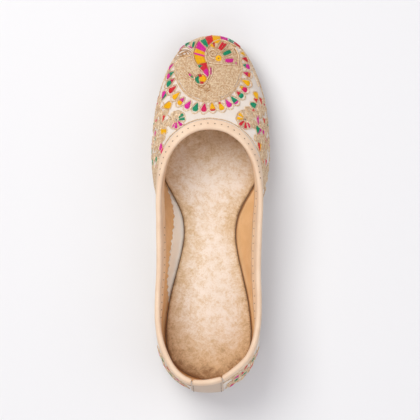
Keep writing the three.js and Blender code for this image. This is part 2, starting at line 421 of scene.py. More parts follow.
antique_zari = yarn(
    "antique_zari", (0.72, 0.40, 0.16), (0.34, 0.16, 0.05), 5200, 0.10, 0.3,
    Metallic=0.4, Specular_IOR_Level=0.6,
)
knot_thread = yarn("knot_thread", (0.20, 0.12, 0.06), (0.09, 0.05, 0.025), 6000, 0.05, 0)
silks = {
    name: yarn(
        f"silk_{name}", colour, tuple(c * 0.72 for c in colour), 3000, 0.04, 0.1, Specular_IOR_Level=0.25
    )
    for name, colour in SILKS.items()
}


# ---------------------------------------------------------------- the upper's surface

def along_edge(co, first, last):
    """How far a point is from a line, and how far along it, from 0 to 1."""
    run = last - first
    part = min(max((co - first).dot(run) / run.length_squared, 0), 1)
    return (co - (first + run * part)).length, part


# Soft creases of the empty shoe: two ends, half-width and depth, in millimetres. A negative depth
# stands proud. They are given on the right and mirrored with a shift, so that the sides differ.
CREASES = [
    ((30, 47, 44), (41, 58, 18), 4.5, 0.7),
    ((24, 55, 46), (39, 74, 20), 5.0, 0.45),
    ((33, 36, 44), (41, 40, 15), 5.0, -0.5),
    ((37, -6, 40), (27, 16, 14), 7.0, 0.8),
    ((36, -46, 40), (28, -30, 14), 7.0, 0.6),
    ((36, -25, 34), (33, -62, 26), 6.0, -0.5),
    ((35, -84, 48), (37, -78, 18), 5.0, 0.5),
    ((16, -112, 50), (20, -118, 22), 4.0, 0.5),
]


def spine(y, z):
    """The middle of the shoe beside y: the toe's and the heel's rounds are each about one place."""
    return Vector((0, min(max(y, HEEL_CENTRE_Y), TOE_CENTRE_Y), z))


def crease_depth(co):
    total = 0
    for first, last, width, depth in CREASES:
        for side in (1, -1):
            shift = 0 if side > 0 else 3
            a = Vector((first[0] * side, first[1] + shift, first[2])) * MM
            b = Vector((last[0] * side, last[1] - shift, last[2])) * MM
            away, part = along_edge(co, a, b)
            fade = math.sin(math.pi * (0.12 + 0.76 * part))
            total += depth * MM * fade * math.exp(-((away / (width * MM)) ** 2))
    return total


def pucker(co):
    """Small pleats where the cloth is drawn over the toe and heel, close to the sole."""
    centre = TOE_CENTRE_Y if co.y > 0 else HEEL_CENTRE_Y
    if HEEL_CENTRE_Y < co.y < TOE_CENTRE_Y:
        return 0
    turn = math.atan2(co.x, abs(co.y - centre))
    low = max(0.0, 1 - (co.z - 9 * MM) / (11 * MM))
    return 0.28 * MM * math.sin(turn * 31 + 2 * math.sin(turn * 5)) * min(low, 1) ** 2


def soften(obj, also_pucker=True):
    """Moves a shell's points in or out by the creases, so that wall, binding and tab stay together."""
    for vertex in obj.data.vertices:
        inward = spine(vertex.co.y, SPINE_Z) - vertex.co
        inward.z *= 0.5
        depth = crease_depth(vertex.co)
        if also_pucker:
            depth += pucker(vertex.co)
        vertex.co += inward.normalized() * depth


def faces_inside(face):
    centre = face.calc_center_median()
    return face.normal.dot(spine(centre.y, SPINE_Z) - centre) > 0


upper = subdivided(from_bmesh("upper_cloth", merged("upper")), 2)
soften(upper)
paint(upper, ivory_cloth, "upper_fabric", "upper")


def shell_tree(inner):
    """The upper's inner or outer side, to be found by rays, and its mesh."""
    bm = bmesh.new()
    bm.from_mesh(upper.data)
    unwanted = [f for f in bm.faces if faces_inside(f) != inner]
    bmesh.ops.delete(bm, geom=unwanted, context="FACES")
    tree = BVHTree.FromBMesh(bm)
    return tree, bm


OUTER, outer_bm = shell_tree(False)
outer_bm.free()
INNER, lining_bm = shell_tree(True)


def lining_piece():
    """The tan lining, glued to the wall's inner face."""
    bmesh.ops.remove_doubles(lining_bm, verts=lining_bm.verts, dist=0.001 * MM)
    for vertex in lining_bm.verts:
        vertex.co += vertex.normal * 0.05 * MM
    obj = from_bmesh("lining", lining_bm)
    wall = obj.modifiers.new("thickness", "SOLIDIFY")
    wall.thickness = 0.2 * MM
    wall.offset = 1
    return paint(baked(obj), lining_leather, "lining_leather")


lining_piece()


# ---------------------------------------------------------------- laying thread

def wrapping():
    """Geometry nodes that wrap each spline in a round thread, and mark it for its material."""
    tree = bpy.data.node_groups.new("wrap_thread", "GeometryNodeTree")
    tree.interface.new_socket("Geometry", in_out="INPUT", socket_type="NodeSocketGeometry")
    tree.interface.new_socket("Sides", in_out="INPUT", socket_type="NodeSocketInt")
    tree.interface.new_socket("Geometry", in_out="OUTPUT", socket_type="NodeSocketGeometry")
    given = tree.nodes.new("NodeGroupInput")
    out = tree.nodes.new("NodeGroupOutput")

    def store(geometry, label, kind, domain, value):
        node = tree.nodes.new("GeometryNodeStoreNamedAttribute")
        node.data_type = kind
        node.domain = domain
        node.inputs["Name"].default_value = label
        link(tree, geometry, node.inputs["Geometry"])
        link(tree, value, node.inputs["Value"])
        return node.outputs["Geometry"]

    spline = tree.nodes.new("GeometryNodeSplineParameter")
    tone = tree.nodes.new("FunctionNodeRandomValue")
    tone.data_type = "FLOAT"
    index = tree.nodes.new("GeometryNodeInputIndex")
    link(tree, index.outputs["Index"], tone.inputs["ID"])
    lines = store(given.outputs["Geometry"], "along", "FLOAT", "POINT", spline.outputs["Length"])
    lines = store(lines, "tone", "FLOAT", "CURVE", next(o for o in tone.outputs if o.enabled))
    circle = tree.nodes.new("GeometryNodeCurvePrimitiveCircle")
    circle.inputs["Radius"].default_value = 1
    link(tree, given.outputs["Sides"], circle.inputs["Resolution"])
    position = tree.nodes.new("GeometryNodeInputPosition")
    profile = store(
        circle.outputs["Curve"], "round", "FLOAT_VECTOR", "POINT", position.outputs["Position"]
    )
    radius = tree.nodes.new("GeometryNodeInputRadius")
    wrap = tree.nodes.new("GeometryNodeCurveToMesh")
    wrap.inputs["Fill Caps"].default_value = True
    link(tree, lines, wrap.inputs["Curve"])
    link(tree, profile, wrap.inputs["Profile Curve"])
    link(tree, radius.outputs["Radius"], wrap.inputs["Scale"])
    link(tree, wrap.outputs["Mesh"], out.inputs["Geometry"])
    return tree


# Radii of cord and silk thread, in millimetres.
CORD_RADIUS = 0.36
BORDER_RADIUS = 0.38
VINE_RADIUS = 0.4
SILK_RADIUS = 0.25
SILK_END_RADIUS = 0.16

WRAP = wrapping()
SIDES = next(item.identifier for item in WRAP.interface.items_tree if item.name == "Sides")
skeins = {}


def lay(skein, points, radii, closed=False):
    """Adds one thread to a skein: its points, and its radius or radii in millimetres."""
    if isinstance(radii, (int, float)):
        radii = [radii] * len(points)
    skeins.setdefault(skein, []).append((points, radii, closed))


def thread_piece(skein, name, material, slot, sides=5):
    data = bpy.data.curves.new(name, "CURVE")
    data.dimensions = "3D"
    for points, radii, closed in skeins[skein]:
        spline = data.splines.new("POLY")
        spline.points.add(len(points) - 1)
        spline.points.foreach_set("co", [c for p in points for c in (*p, 1)])
        spline.points.foreach_set("radius", [r * MM for r in radii])
        spline.use_cyclic_u = closed
    obj = add_object(name, data)
    wrap = obj.modifiers.new("wrap", "NODES")
    wrap.node_group = WRAP
    wrap[SIDES] = sides
    return paint(baked(obj), material, slot)


# The motifs are drawn as they are seen from here, in millimetres at the height of the widest line.
SIGHT = Vector((43.5, 3, 2668)) * MM
WIDE_Z = 16 * MM


def level(angle):
    """The level direction at an angle from +X, in radians."""
    return Vector((math.cos(angle), math.sin(angle), 0))


def flattened(heading, normal):
    """A direction laid on the cloth where the cloth faces along normal."""
    return (heading - normal * heading.dot(normal)).normalized()


def off(tree, place, lift):
    """The nearest place of a piece, raised off it by lift, in millimetres."""
    near, up, _, _ = tree.find_nearest(place)
    return near + up * lift * MM


def march(place, normal, heading, length):
    """Follows the cloth from a place for a length, starting along heading."""
    while length > 0:
        heading = flattened(heading, normal)
        step = min(length, 0.5 * MM)
        place, normal, _, _ = OUTER.find_nearest(place + heading * step)
        length -= step
    return place, normal


def seen(x, y):
    """The cloth's place and normal at (x, y), and past its visible edge as far down the cloth."""
    target = Vector((x * MM, y * MM, WIDE_Z))
    place, normal, _, _ = OUTER.ray_cast(SIGHT, (target - SIGHT).normalized())
    if place:
        return place, normal
    hub = spine(y * MM, WIDE_Z)
    for step in range(1, 60):
        nearer = target.lerp(hub, step * 0.005)
        place, normal, _, _ = OUTER.ray_cast(SIGHT, (nearer - SIGHT).normalized())
        if place:
            return march(place, normal, (target - hub).normalized() - UP, (target - nearer).length)
    return OUTER.find_nearest(target)[:2]


def by_eye(u, v, lift=0.0):
    """The plan itself as a grid: (u, v) are where a point is seen."""
    place, normal = seen(u, v)
    return place + normal * lift * MM


def grid_at(place, normal, heading):
    """A millimetre grid laid on the cloth, its second axis along heading."""
    ahead = flattened(heading, normal)
    side = ahead.cross(normal)

    def grid(u, v, lift=0.0):
        return off(OUTER, place + (side * u + ahead * v) * MM, lift)

    return grid


def spot(x, y, turn):
    """A grid centred where (x, y) is seen, its second axis turned from +X by degrees."""
    return grid_at(*seen(x, y), level(math.radians(turn)))


def wall_spot(side, y, z, turn):
    """A grid on a side wall at a height, its second axis turned from the toe's way by degrees."""
    outside = Vector((side * 100, y, z)) * MM
    place, normal, _, _ = OUTER.ray_cast(outside, Vector((-side, 0, 0)))
    angle = math.radians(turn)
    return grid_at(place, normal, Vector((0, math.cos(angle), math.sin(angle))))


def round_spot(centre_y, around, z, turn):
    """A grid on the toe's or heel's round, at an angle from +X seen from above, and a height."""
    out = level(math.radians(around))
    start = Vector((0, centre_y, z * MM))
    place, normal, _, _ = OUTER.ray_cast(start + out * 0.12, -out)
    along = Vector((-out.y, out.x, 0))
    angle = math.radians(turn)
    return grid_at(place, normal, along * math.cos(angle) + UP * math.sin(angle))


def on_wall(side, y, z, lift=0.3):
    """A place on a side wall at a height."""
    return wall_spot(side, y, z, 0)(0, 0, lift)


def on_round(centre_y, around, z, lift=0.3):
    """A place on the toe's or heel's round."""
    return round_spot(centre_y, around, z, 0)(0, 0, lift)


def smooth_line(points, closed=False, step=0.6):
    """Points along a smooth curve through the given ones."""
    points = [Vector(p) for p in points]
    count = len(points)
    line = []
    for i in range(count if closed else count - 1):
        b, c = points[i], points[(i + 1) % count]
        a = points[i - 1] if closed or i else b
        d = points[(i + 2) % count] if closed or i + 2 < count else c
        parts = max(1, math.ceil((c - b).length / step))
        for k in range(parts):
            t = k / parts
            line.append(
                b * (1 - 3 * t**2 + 2 * t**3) + c * (3 * t**2 - 2 * t**3)
                + (c - a) * 0.5 * (t - 2 * t**2 + t**3) + (d - b) * 0.5 * (t**3 - t**2)
            )
    if not closed:
        line.append(points[-1])
    return line


def cord(skein, grid, points, radius=CORD_RADIUS, closed=False, lift=None, step=0.6):
    """Lays a smooth cord through points of a grid, at its own height or a given one."""
    height = radius * 0.75 if lift is None else lift
    line = smooth_line(points, closed, step)
    lay(skein, [grid(u, v, height) for u, v in line], radius, closed)


def chords(outline, angle, pitch):
    """The parts of evenly spaced parallel lines that are inside an outline."""
    turn = Matrix.Rotation(math.radians(-angle), 2)
    back = Matrix.Rotation(math.radians(angle), 2)
    flat = [turn @ Vector(p) for p in outline]
    low = min(p.y for p in flat)
    high = max(p.y for p in flat)
    count = max(1, round((high - low) / pitch))
    for i in range(count):
        y = low + (i + 0.5) * (high - low) / count
        cuts = []
        for a, b in zip(flat, flat[1:] + flat[:1]):
            if (a.y > y) != (b.y > y):
                cuts.append(a.x + (b.x - a.x) * (y - a.y) / (b.y - a.y))
        cuts.sort()
        for first, last in zip(cuts[::2], cuts[1::2]):
            yield back @ Vector((first, y)), back @ Vector((last, y))


def satin(colour, grid, outline, angle, base=0.0, pitch=0.42, crown=0.35):
    """Fills an outline with silk threads side by side, at an angle from the grid's first axis."""
    for a, b in chords(outline, angle, pitch):
        length = (b - a).length
        if length < 0.25:
            continue
        parts = max(3, math.ceil(length / 1.1))
        points = []
        for i in range(parts + 1):
            part = i / parts
            swell = math.sin(math.pi * part) ** 0.6
            drift = rng.uniform(-0.04, 0.04)
            u, v = a.lerp(b, part)
            points.append(grid(u + drift, v, base - 0.05 + (0.15 + crown) * swell))
        radii = [SILK_RADIUS] * len(points)
        radii[0] = radii[-1] = SILK_END_RADIUS
        lay(f"silk_{colour}", points, radii)


def shrunk(outline, inset):
    """An outline drawn in toward its middle by about inset."""
    middle = sum((Vector(p) for p in outline), Vector((0, 0))) / len(outline)
    reach = sum((Vector(p) - middle).length for p in outline) / len(outline)
    part = max(0.05, 1 - inset / reach)
    return [middle + (Vector(p) - middle) * part for p in outline]


def gold_fill(grid, outline, radius=CORD_RADIUS, skein="zari_side"):
    """Zari cord laid round and round inside an outline until it is full."""
    reach = min(
        max(Vector(p).x for p in outline) - min(Vector(p).x for p in outline),
        max(Vector(p).y for p in outline) - min(Vector(p).y for p in outline),
    ) / 2
    inset = 0.0
    while inset < reach - radius * 0.4:
        ring = shrunk(outline, inset)
        bow = 0.25 * math.sin(math.pi * min(1.0, inset / reach))
        cord(skein, grid, ring, radius, True, radius * 0.75 + bow)
        inset += radius * 1.9


def teardrop(length, half, low=0.0, high=1.0, left=-1.0, right=1.0, blunt=0.25):
    """A drop with its tip at -length/2 and its round end at +length/2, or a part of one."""
    rows = 12
    sides = ([], [])
    for i in range(rows + 1):
        part = low + (high - low) * i / rows
        width = half * part**0.8
        if part > 1 - blunt:
            width *= math.sqrt(max(0, 1 - ((part - 1 + blunt) / blunt) ** 2 * 0.85))
        v = (part - 0.5) * length
        sides[0].append((width * left, v))
        sides[1].append((width * right, v))
    return sides[0] + sides[1][::-1]


def almond(length, half):
    """A leaf pointed at its ends."""
    return [
        (0, -length / 2), (-half * 0.75, -length / 4), (-half, 0), (-half * 0.7, length / 4),
        (0, length / 2), (half * 0.7, length / 4), (half, 0), (half * 0.75, -length / 4),
    ]


# ---------------------------------------------------------------- the zari disc on the toe

DISC = (-2.2, 102.1)
DISC_RADIUS = 22.4
DISC_LOW_Z = 13.5 * MM
RAYS = 180
REACH = 44.0

# The disc stops along this ledge, with the wing above it.
LEDGE = [(-24.6, 108.3), (-20, 108.9), (-16.2, 109.2), (-12.8, 112.6), (-11.8, 116), (-9.8, 121)]
WING_FIELD = LEDGE + [(-9, 132), (-40, 132), (-40, 108)]


def inside(outline, x, y):
    odd = False
    for (ax, ay), (bx, by) in zip(outline, outline[1:] + outline[:1]):
        if (ay > y) != (by > y) and x < ax + (bx - ax) * (y - ay) / (by - ay):
            odd = not odd
    return odd


def as_seen(place):
    """Where a place is seen in the plan, in millimetres."""
    ray = place - SIGHT
    flat = SIGHT + ray * ((WIDE_Z - SIGHT.z) / ray.z)
    return flat.x / MM, flat.y / MM


def disc_rays():
    """For each of RAYS directions from the disc's middle, the cloth's places every half millimetre."""
    middle, up = seen(*DISC)
    rays = []
    for i in range(RAYS):
        heading = flattened(level(2 * math.pi * i / RAYS), up)
        place, normal = middle, up
        line = [(place, normal)]
        while len(line) < REACH * 2:
            heading = flattened(heading, normal)
            place, normal, _, _ = OUTER.find_nearest(place + heading * 0.5 * MM)
            line.append((place, normal))
        rays.append(line)
    return rays


def ray_limit(line):
    """How far out along a ray the disc goes, in millimetres."""
    for i, (place, normal) in enumerate(line):
        x, y = as_seen(place)
        if place.z < DISC_LOW_Z or inside(WING_FIELD, x, y):
            return i / 2
        if normal.z > 0.05 and math.dist((x, y), DISC) > DISC_RADIUS:
            return i / 2
    return len(line) / 2


disc_lines = disc_rays()
disc_limits = [ray_limit(line) for line in disc_lines]


def rays_beside(turn):
    """The numbers of the rays on either side of a direction, and how far it is between them."""
    across = (turn / (2 * math.pi) * RAYS) % RAYS
    first = int(across) % RAYS
    return first, (first + 1) % RAYS, across - int(across)


def on_disc(radius, turn, lift):
    """A place on the cloth by its distance from the disc's middle and its direction."""
    first, second, part = rays_beside(turn)
    out = min(radius * 2, REACH * 2 - 2)
    near = int(out)
    a, b = disc_lines[first], disc_lines[second]
    along = out - near
    low = a[near][0].lerp(b[near][0], part)
    high = a[near + 1][0].lerp(b[near + 1][0], part)
    return low.lerp(high, along) + a[near][1].lerp(b[near][1], part) * lift * MM


def disc_limit(turn):
    first, second, part = rays_beside(turn)
    return disc_limits[first] * (1 - part) + disc_limits[second] * part


# The wavy cord that fills the gold, in millimetres: its length of wave, its swing, how far apart its
# rows are, and its radius.
WAVE = 1.35
SWING = 0.34
ROW = 0.95
ROW_RADIUS = 0.29


def wavy(swing):
    """How high a wavy cord stands: it crosses over its neighbour once a wave."""
    return 0.32 + 0.2 * math.cos(swing)


def disc_row(radius, phase):
    """One wavy cord round the disc, in as many lengths as its edge leaves."""
    waves = max(3, round(2 * math.pi * radius / WAVE))
    steps = waves * 6
    run = []
    for i in range(steps + 1):
        turn = 2 * math.pi * i / steps
        swing = turn * waves + phase
        r = radius + SWING * math.sin(swing) + 0.06 * math.sin(turn * 17)
        if r < disc_limit(turn) - 0.3:
            run.append(on_disc(r, turn, wavy(swing)))
        if r >= disc_limit(turn) - 0.3 or i == steps:
            if len(run) > 3:
                lay("zari_disc", run, ROW_RADIUS)
            run = []


row = 0.5
while row < max(disc_limits):
    disc_row(row, row * 2)
    disc_row(row, row * 2 + math.pi)
    row += ROW

edge = [on_disc(disc_limits[i], 2 * math.pi * i / RAYS, 0.35) for i in range(0, RAYS, 2)]
for _ in range(3):
    edge = [(edge[i - 1] + p * 2 + edge[(i + 1) % len(edge)]) / 4 for i, p in enumerate(edge)]


def loop_round(points, outset, radius):
    """A cord outside a closed line of places by outset."""
    line = []
    for i, p in enumerate(points):
        near, up, _, _ = OUTER.find_nearest(p)
        along = points[(i + 1) % len(points)] - points[i - 1]
        out = along.cross(up).normalized()
        line.append(off(OUTER, near + out * outset * MM, radius * 0.8))
    lay("zari_edge", line, radius, True)


loop_round(edge, 0.35, 0.45)
loop_round(edge, 1.15, 0.4)


# ---------------------------------------------------------------- the bird on the disc

# Blocks of silk from its head round to its tail: a colour, the threads' angle in plan and the block's
# corners as seen.
BIRD_BLOCKS = [
    ("magenta", 20, [(-6.6, 100.2), (-3.4, 102.6), (-2.2, 101.2), (-1.8, 98.0), (-2.9, 95.4), (-4.8, 96.8)]),
    ("green", 15, [(-9.6, 104.2), (-6.2, 104.2), (-8.5, 102.4)]),
    ("red", 15, [(-8.4, 102.3), (-6.1, 104.1), (-9.3, 104.7), (-3.6, 106.1), (-2.3, 101.8), (-5.9, 99.7)]),
    ("yellow", 0, [(-9.6, 105.0), (-3.6, 106.3), (-4.8, 108.6), (-5.0, 110.1), (-12.2, 111.8),
                   (-12.0, 109.5), (-11.0, 106.8)]),
    ("magenta", -14, [(-12.4, 113.1), (-12.2, 111.9), (-5.0, 110.2), (-4.9, 111.1)]),
    ("yellow", -14, [(-12.3, 113.2), (-4.9, 111.2), (-4.8, 113.3), (-11.3, 116.0)]),
    ("magenta", -30, [(-11.3, 116.1), (-4.8, 113.4), (-3.8, 115.9), (-9.0, 121.0), (-10.6, 118.6)]),
    ("green", -48, [(-8.3, 121.5), (-3.3, 116.4), (-2.3, 117.9), (-4.8, 122.7)]),
    ("red", -60, [(-4.8, 123.3), (-2.3, 118.1), (1.0, 121.2), (-0.4, 125.4), (-3.0, 125.0)]),
    ("yellow", -80, [(-0.4, 125.6), (1.0, 121.2), (1.7, 119.7), (6.1, 119.6), (6.0, 121.8), (5.0, 126.0)]),
    ("magenta", 80, [(5.2, 126.0), (6.1, 121.9), (10.6, 121.4), (10.9, 125.0)]),
    ("green", 65, [(11.9, 124.6), (11.5, 121.4), (14.3, 120.0), (15.8, 121.9)]),
    ("red", 60, [(15.8, 121.5), (15.0, 119.8), (17.4, 117.9), (19.0, 116.6), (19.8, 118.2)]),
    # the fan within the curl of the tail
    ("yellow", -65, [(-1.4, 119.4), (-0.3, 119.8), (2.0, 116.4), (-0.7, 117.4)]),
    ("red", 75, [(0.4, 120.4), (2.1, 120.2), (1.9, 117.2), (1.2, 117.0)]),
    ("red", 58, [(7.1, 120.7), (8.6, 120.1), (5.4, 115.2), (4.3, 115.9)]),
    ("red", 50, [(9.0, 119.9), (10.5, 119.2), (6.4, 114.6), (5.7, 115.1)]),
    ("green", 25, [(12.5, 115.4), (13.9, 113.3), (8.4, 111.0), (7.3, 112.7)]),
    ("magenta", 3, [(9.2, 108.6), (15.3, 109.1), (14.7, 106.5), (9.4, 106.5)]),
    ("magenta", 80, [(16.5, 106.8), (17.1, 106.8), (17.1, 105.2), (16.6, 105.2)]),
    # the head
    ("green", 80, [(-9.3, 97.1), (-8.6, 97.2), (-9.1, 95.0), (-8.2, 91.6), (-9.8, 91.6), (-11.2, 93.2),
                   (-11.1, 95.4)]),
    ("red", 60, [(-9.2, 97.5), (-7.2, 98.1), (-6.6, 96.4), (-8.5, 95.6)]),
    ("yellow", 20, [(-8.7, 95.5), (-6.5, 96.3), (-6.3, 97.7), (-4.0, 96.6), (-3.1, 94.4), (-4.6, 92.6),
                    (-8.0, 93.0)]),
    ("red", 15, [(-7.9, 92.9), (-4.8, 92.6), (-6.0, 91.3), (-7.8, 91.4)]),
    ("magenta", -50, [(-16.2, 98.6), (-14.6, 98.0), (-13.7, 96.4), (-15.3, 96.9)]),
    ("green", -55, [(-14.5, 97.4), (-13.5, 96.9), (-12.6, 95.2), (-13.9, 95.7)]),
    ("magenta", 80, [(-0.9, 102.7), (-0.2, 102.4), (-0.1, 98.0), (-0.9, 97.8)]),
    # leaves above the wing
    ("green", 62, [(-18.3, 118.6), (-16.6, 120.2), (-15.3, 120.0), (-17.2, 117.2), (-18.1, 117.3)]),
    ("green", 76, [(-12.9, 120.6), (-11.4, 120.9), (-12.7, 116.6), (-13.9, 116.4)]),
    ("magenta", -25, [(-16.4, 117.0), (-15.8, 117.4), (-13.4, 116.4), (-13.8, 115.8)]),
    ("magenta", 48, [(-23.2, 115.0), (-22.6, 114.9), (-18.9, 118.2), (-19.5, 118.7)]),
]
for colour, angle, corners in BIRD_BLOCKS:
    satin(colour, by_eye, corners, angle, base=0.68, crown=0.3)

# Gold cords that draw the bird: points as seen, closed or not, and the cord's radius.
BIRD_CORDS = [
    ([(-10.4, 104.4), (-12.0, 107.4), (-12.9, 111.5), (-12.4, 115.3), (-11.0, 118.9), (-8.9, 121.9)],
     False, 0.36),
    ([(-3.2, 106.2), (-4.4, 109.0), (-4.4, 112.6), (-3.0, 116.0), (-0.8, 118.9), (2.2, 121.0),
      (5.8, 121.9), (9.6, 121.0), (13.0, 119.4), (16.6, 117.6)], False, 0.3),
    ([(-8.6, 102.0), (-6.0, 99.4), (-5.0, 97.2)], False, 0.3),
    ([(-3.0, 106.2), (-1.7, 102.8), (-1.2, 98.4), (-2.4, 95.2)], False, 0.3),
    ([(0.4, 103.2), (0.6, 99.6), (0.0, 96.6), (-1.8, 93.8)], False, 0.32),
    ([(-11.7, 94.4), (-10.9, 97.0), (-8.4, 98.6), (-5.4, 98.2), (-3.0, 95.8), (-2.8, 93.2), (-4.8, 91.0),
      (-8.2, 90.6), (-10.8, 91.6)], True, 0.3),
    ([(-16.8, 99.2), (-14.2, 98.9), (-12.6, 97.2), (-11.9, 94.6), (-13.6, 95.0), (-15.4, 96.4)], True, 0.3),
    ([(1.9, 108.6), (0.0, 109.4), (-1.8, 111.2), (-1.6, 114.0), (0.8, 115.0), (3.0, 113.6), (2.6, 111.4),
      (0.6, 110.9), (-0.2, 112.4), (0.9, 113.3)], False, 0.36),
    ([(-3.6, 113.0), (-4.0, 109.6), (-2.6, 106.8), (1.0, 105.6), (6.0, 105.3), (11.0, 104.7), (15.2, 104.6)],
     False, 0.36),
    ([(18.3, 104.2), (18.6, 108.2), (17.8, 112.6), (15.6, 116.6)], False, 0.36),
    ([(3.4, 116.4), (6.4, 121.2), (11.4, 118.9), (6.2, 113.9)], True, 0.26),
    ([(6.6, 112.8), (12.5, 116.1), (14.6, 113.1), (8.2, 110.3)], True, 0.26),
    ([(8.7, 109.2), (15.9, 109.8), (15.3, 105.9), (8.8, 105.9)], True, 0.26),
]
for points, closed, radius in BIRD_CORDS:
    cord("antique", by_eye, points, radius * 1.75, closed, lift=0.7)
    cord("zari_edge", by_eye, points, radius * 1.2, closed, lift=1.1)

# The ring of yellow in the curl, with a dark knot in its middle.
CURL = (4.7, 109.3)
for turn in range(0, 360, 12):
    out = Vector((math.cos(math.radians(turn)), math.sin(math.radians(turn))))
    ends = [Vector(CURL) + out * r for r in (0.5, 1.3, 2.1)]
    lay("silk_yellow", [by_eye(*p, h) for p, h in zip(ends, (0.6, 1.0, 0.5))], SILK_RADIUS)
cord("knots", by_eye, [(4.5, 109.4), (5.0, 109.2)], 0.35, lift=0.8)

# Scrolls under the head, and the loops of the wing, in darker gold.
SCROLLS = [
    [(-9.4, 90.0), (-7.6, 88.9), (-5.6, 89.4), (-4.6, 91.0), (-5.8, 91.6)],
    [(-7.0, 88.6), (-4.4, 87.6), (-1.6, 88.6), (-1.2, 90.4), (-3.0, 90.6)],
    [(-4.8, 87.0), (-2.6, 86.2), (-0.6, 87.2)],
]
WING_LOOPS = [
    [(-23.4, 112.7), (-21.0, 114.6), (-17.6, 115.0), (-14.9, 113.8), (-14.0, 111.6)],
    [(-23.2, 111.8), (-20.4, 112.6), (-18.2, 114.0), (-16.2, 113.4), (-15.0, 111.2)],
    [(-22.6, 110.9), (-19.6, 110.9), (-17.4, 112.6), (-19.4, 113.4), (-21.4, 112.2), (-19.2, 111.4),
     (-16.0, 111.6)],
    [(-22.0, 110.4), (-19.4, 110.0), (-16.6, 110.6), (-14.6, 110.2)],
]
for points in SCROLLS:
    cord("antique", by_eye, points, 0.3, lift=0.85)
for points in WING_LOOPS:
    cord("antique", by_eye, points, lift=0.4)
for shift in (0.0, 0.9, 1.8):
    line = [(x - shift * 0.3, y + shift) for x, y in LEDGE[:3]]
    cord("zari_side", by_eye, [(-26.4, 106.6 + shift)] + line, BORDER_RADIUS)
for shift in (0.0, 0.8, 1.6, 2.4, 3.2):
    leaf_rib = [(-16.6 + shift, 120.6), (-15.4 + shift * 0.9, 118.9), (-14.6 + shift * 0.8, 117.2)]
    cord("zari_side", by_eye, leaf_rib)
cord("zari_side", by_eye, [(-23.6, 114.4), (-20.8, 116.4), (-17.6, 116.9), (-14.6, 115.2), (-12.9, 114.6)])
cord("zari_side", by_eye, [(-24.4, 113.6), (-21.6, 117.2), (-17.8, 120.4), (-13.6, 121.6), (-10.2, 122.2)])


# ---------------------------------------------------------------- petals round the disc

# What is seen on a slope is longer and wider on the cloth: by how much, for each kind of shape.
PETAL_SCALE = (1.12, 1.32)
BUD_SCALE = (1.3, 1.55)
LEAF_SCALE = (1.2, 1.35)


def shares(silk, low, high):
    """One silk over the whole of a shape, or each silk with its own part of it."""
    return [(silk, low, high)] if isinstance(silk, str) else silk


# Where each petal is seen, its length and half width, and its silk, or its silks from tip to round end.
PETALS = [
    (-28.3, 103.3, 6.6, 1.9, "magenta"),
    (-28.9, 97.6, 7.2, 2.1, [("green", 0, 0.55), ("magenta", 0.55, 1)]),
    (-28.8, 92.3, 7.0, 2.1, [("crimson", 0, 0.4), ("green", 0.4, 1)]),
    (-27.2, 87.6, 6.6, 2.1, [("red", 0.1, 1)]),
    (-24.5, 83.1, 6.0, 2.1, "yellow"),
    (-21.0, 79.2, 5.8, 1.9, [("magenta", 0, 0.5), ("yellow", 0.5, 1)]),
    (-16.1, 76.8, 5.8, 2.0, "magenta"),
    (-10.6, 75.2, 5.8, 2.0, "green"),
    (-4.9, 75.0, 5.8, 2.0, "crimson"),
    (0.8, 75.7, 5.8, 2.0, [("yellow", 0, 0.82), ("red", 0.82, 1)]),
    (6.7, 76.1, 5.8, 2.0, [("red", 0, 0.22), ("yellow", 0.22, 1)]),
    (11.7, 78.1, 5.8, 2.0, "magenta"),
    (15.9, 80.5, 5.8, 2.0, [("green", 0, 0.8), ("magenta", 0.8, 1)]),
    (19.8, 84.4, 5.6, 2.0, [("red", 0, 0.5), ("green", 0.5, 1)]),
    (22.4, 88.4, 5.6, 2.0, [("yellow", 0, 0.4), ("crimson", 0.4, 1)]),
    (24.1, 93.0, 6.0, 2.2, "yellow"),
    (24.7, 98.7, 5.6, 1.9, [("crimson", 0, 0.65), ("orange", 0.65, 1)]),
    (24.4, 104.2, 5.8, 2.0, [("green", 0, 0.4), ("magenta", 0.4, 1)]),
    (23.3, 109.0, 5.2, 1.9, "red"),
    (21.5, 112.9, 4.2, 1.6, "yellow"),
]
PETAL_EDGE = [
    (-0.2, -0.62), (-0.75, -0.3), (-1.3, 0.18), (-1.1, 0.52), (-0.35, 0.8), (0.35, 0.8), (1.1, 0.52),
    (1.3, 0.18), (0.75, -0.3), (0.2, -0.62),
]
for x, y, length, half, silk in PETALS:
    outward = math.degrees(math.atan2(y - DISC[1], x - DISC[0]))
    grid = spot(x, y, outward)
    long, wide = length * PETAL_SCALE[0], half * PETAL_SCALE[1]
    for colour, low, high in shares(silk, 0, 1):
        satin(colour, grid, teardrop(long, wide, low, high, blunt=0.5), 90, crown=0.45)
    cord("zari_petals", grid, [(u * half * 1.12, v * length * 1.04) for u, v in PETAL_EDGE], 0.45)


# ---------------------------------------------------------------- flowers, buds and vines

def flower(x, y, radius, lobes):
    """Lobes round a middle: each has its direction in plan and gold, a silk's name or nothing."""
    for turn, fill in lobes:
        grid = spot(x, y, turn)
        half = radius * 0.36
        lobe = [
            (-0.12 * half, radius * 0.16), (-half * 0.75, radius * 0.5), (-half, radius * 0.78),
            (-half * 0.55, radius), (half * 0.55, radius), (half, radius * 0.78),
            (half * 0.75, radius * 0.5), (0.12 * half, radius * 0.16),
        ]
        if fill == "gold":
            gold_fill(grid, lobe, BORDER_RADIUS)
        else:
            cord("zari_side", grid, lobe, 0.34, True)
            width = radius * 0.155
            stripe = [
                (-width * 0.6, radius * 0.22), (width * 0.6, radius * 0.22),
                (width, radius * 0.92), (-width, radius * 0.92),
            ]
            satin(fill, grid, stripe, 90, base=0.1)
    cord("knots", spot(x, y, 0), [(-0.3, 0), (0.3, 0)], 0.4, lift=0.4)


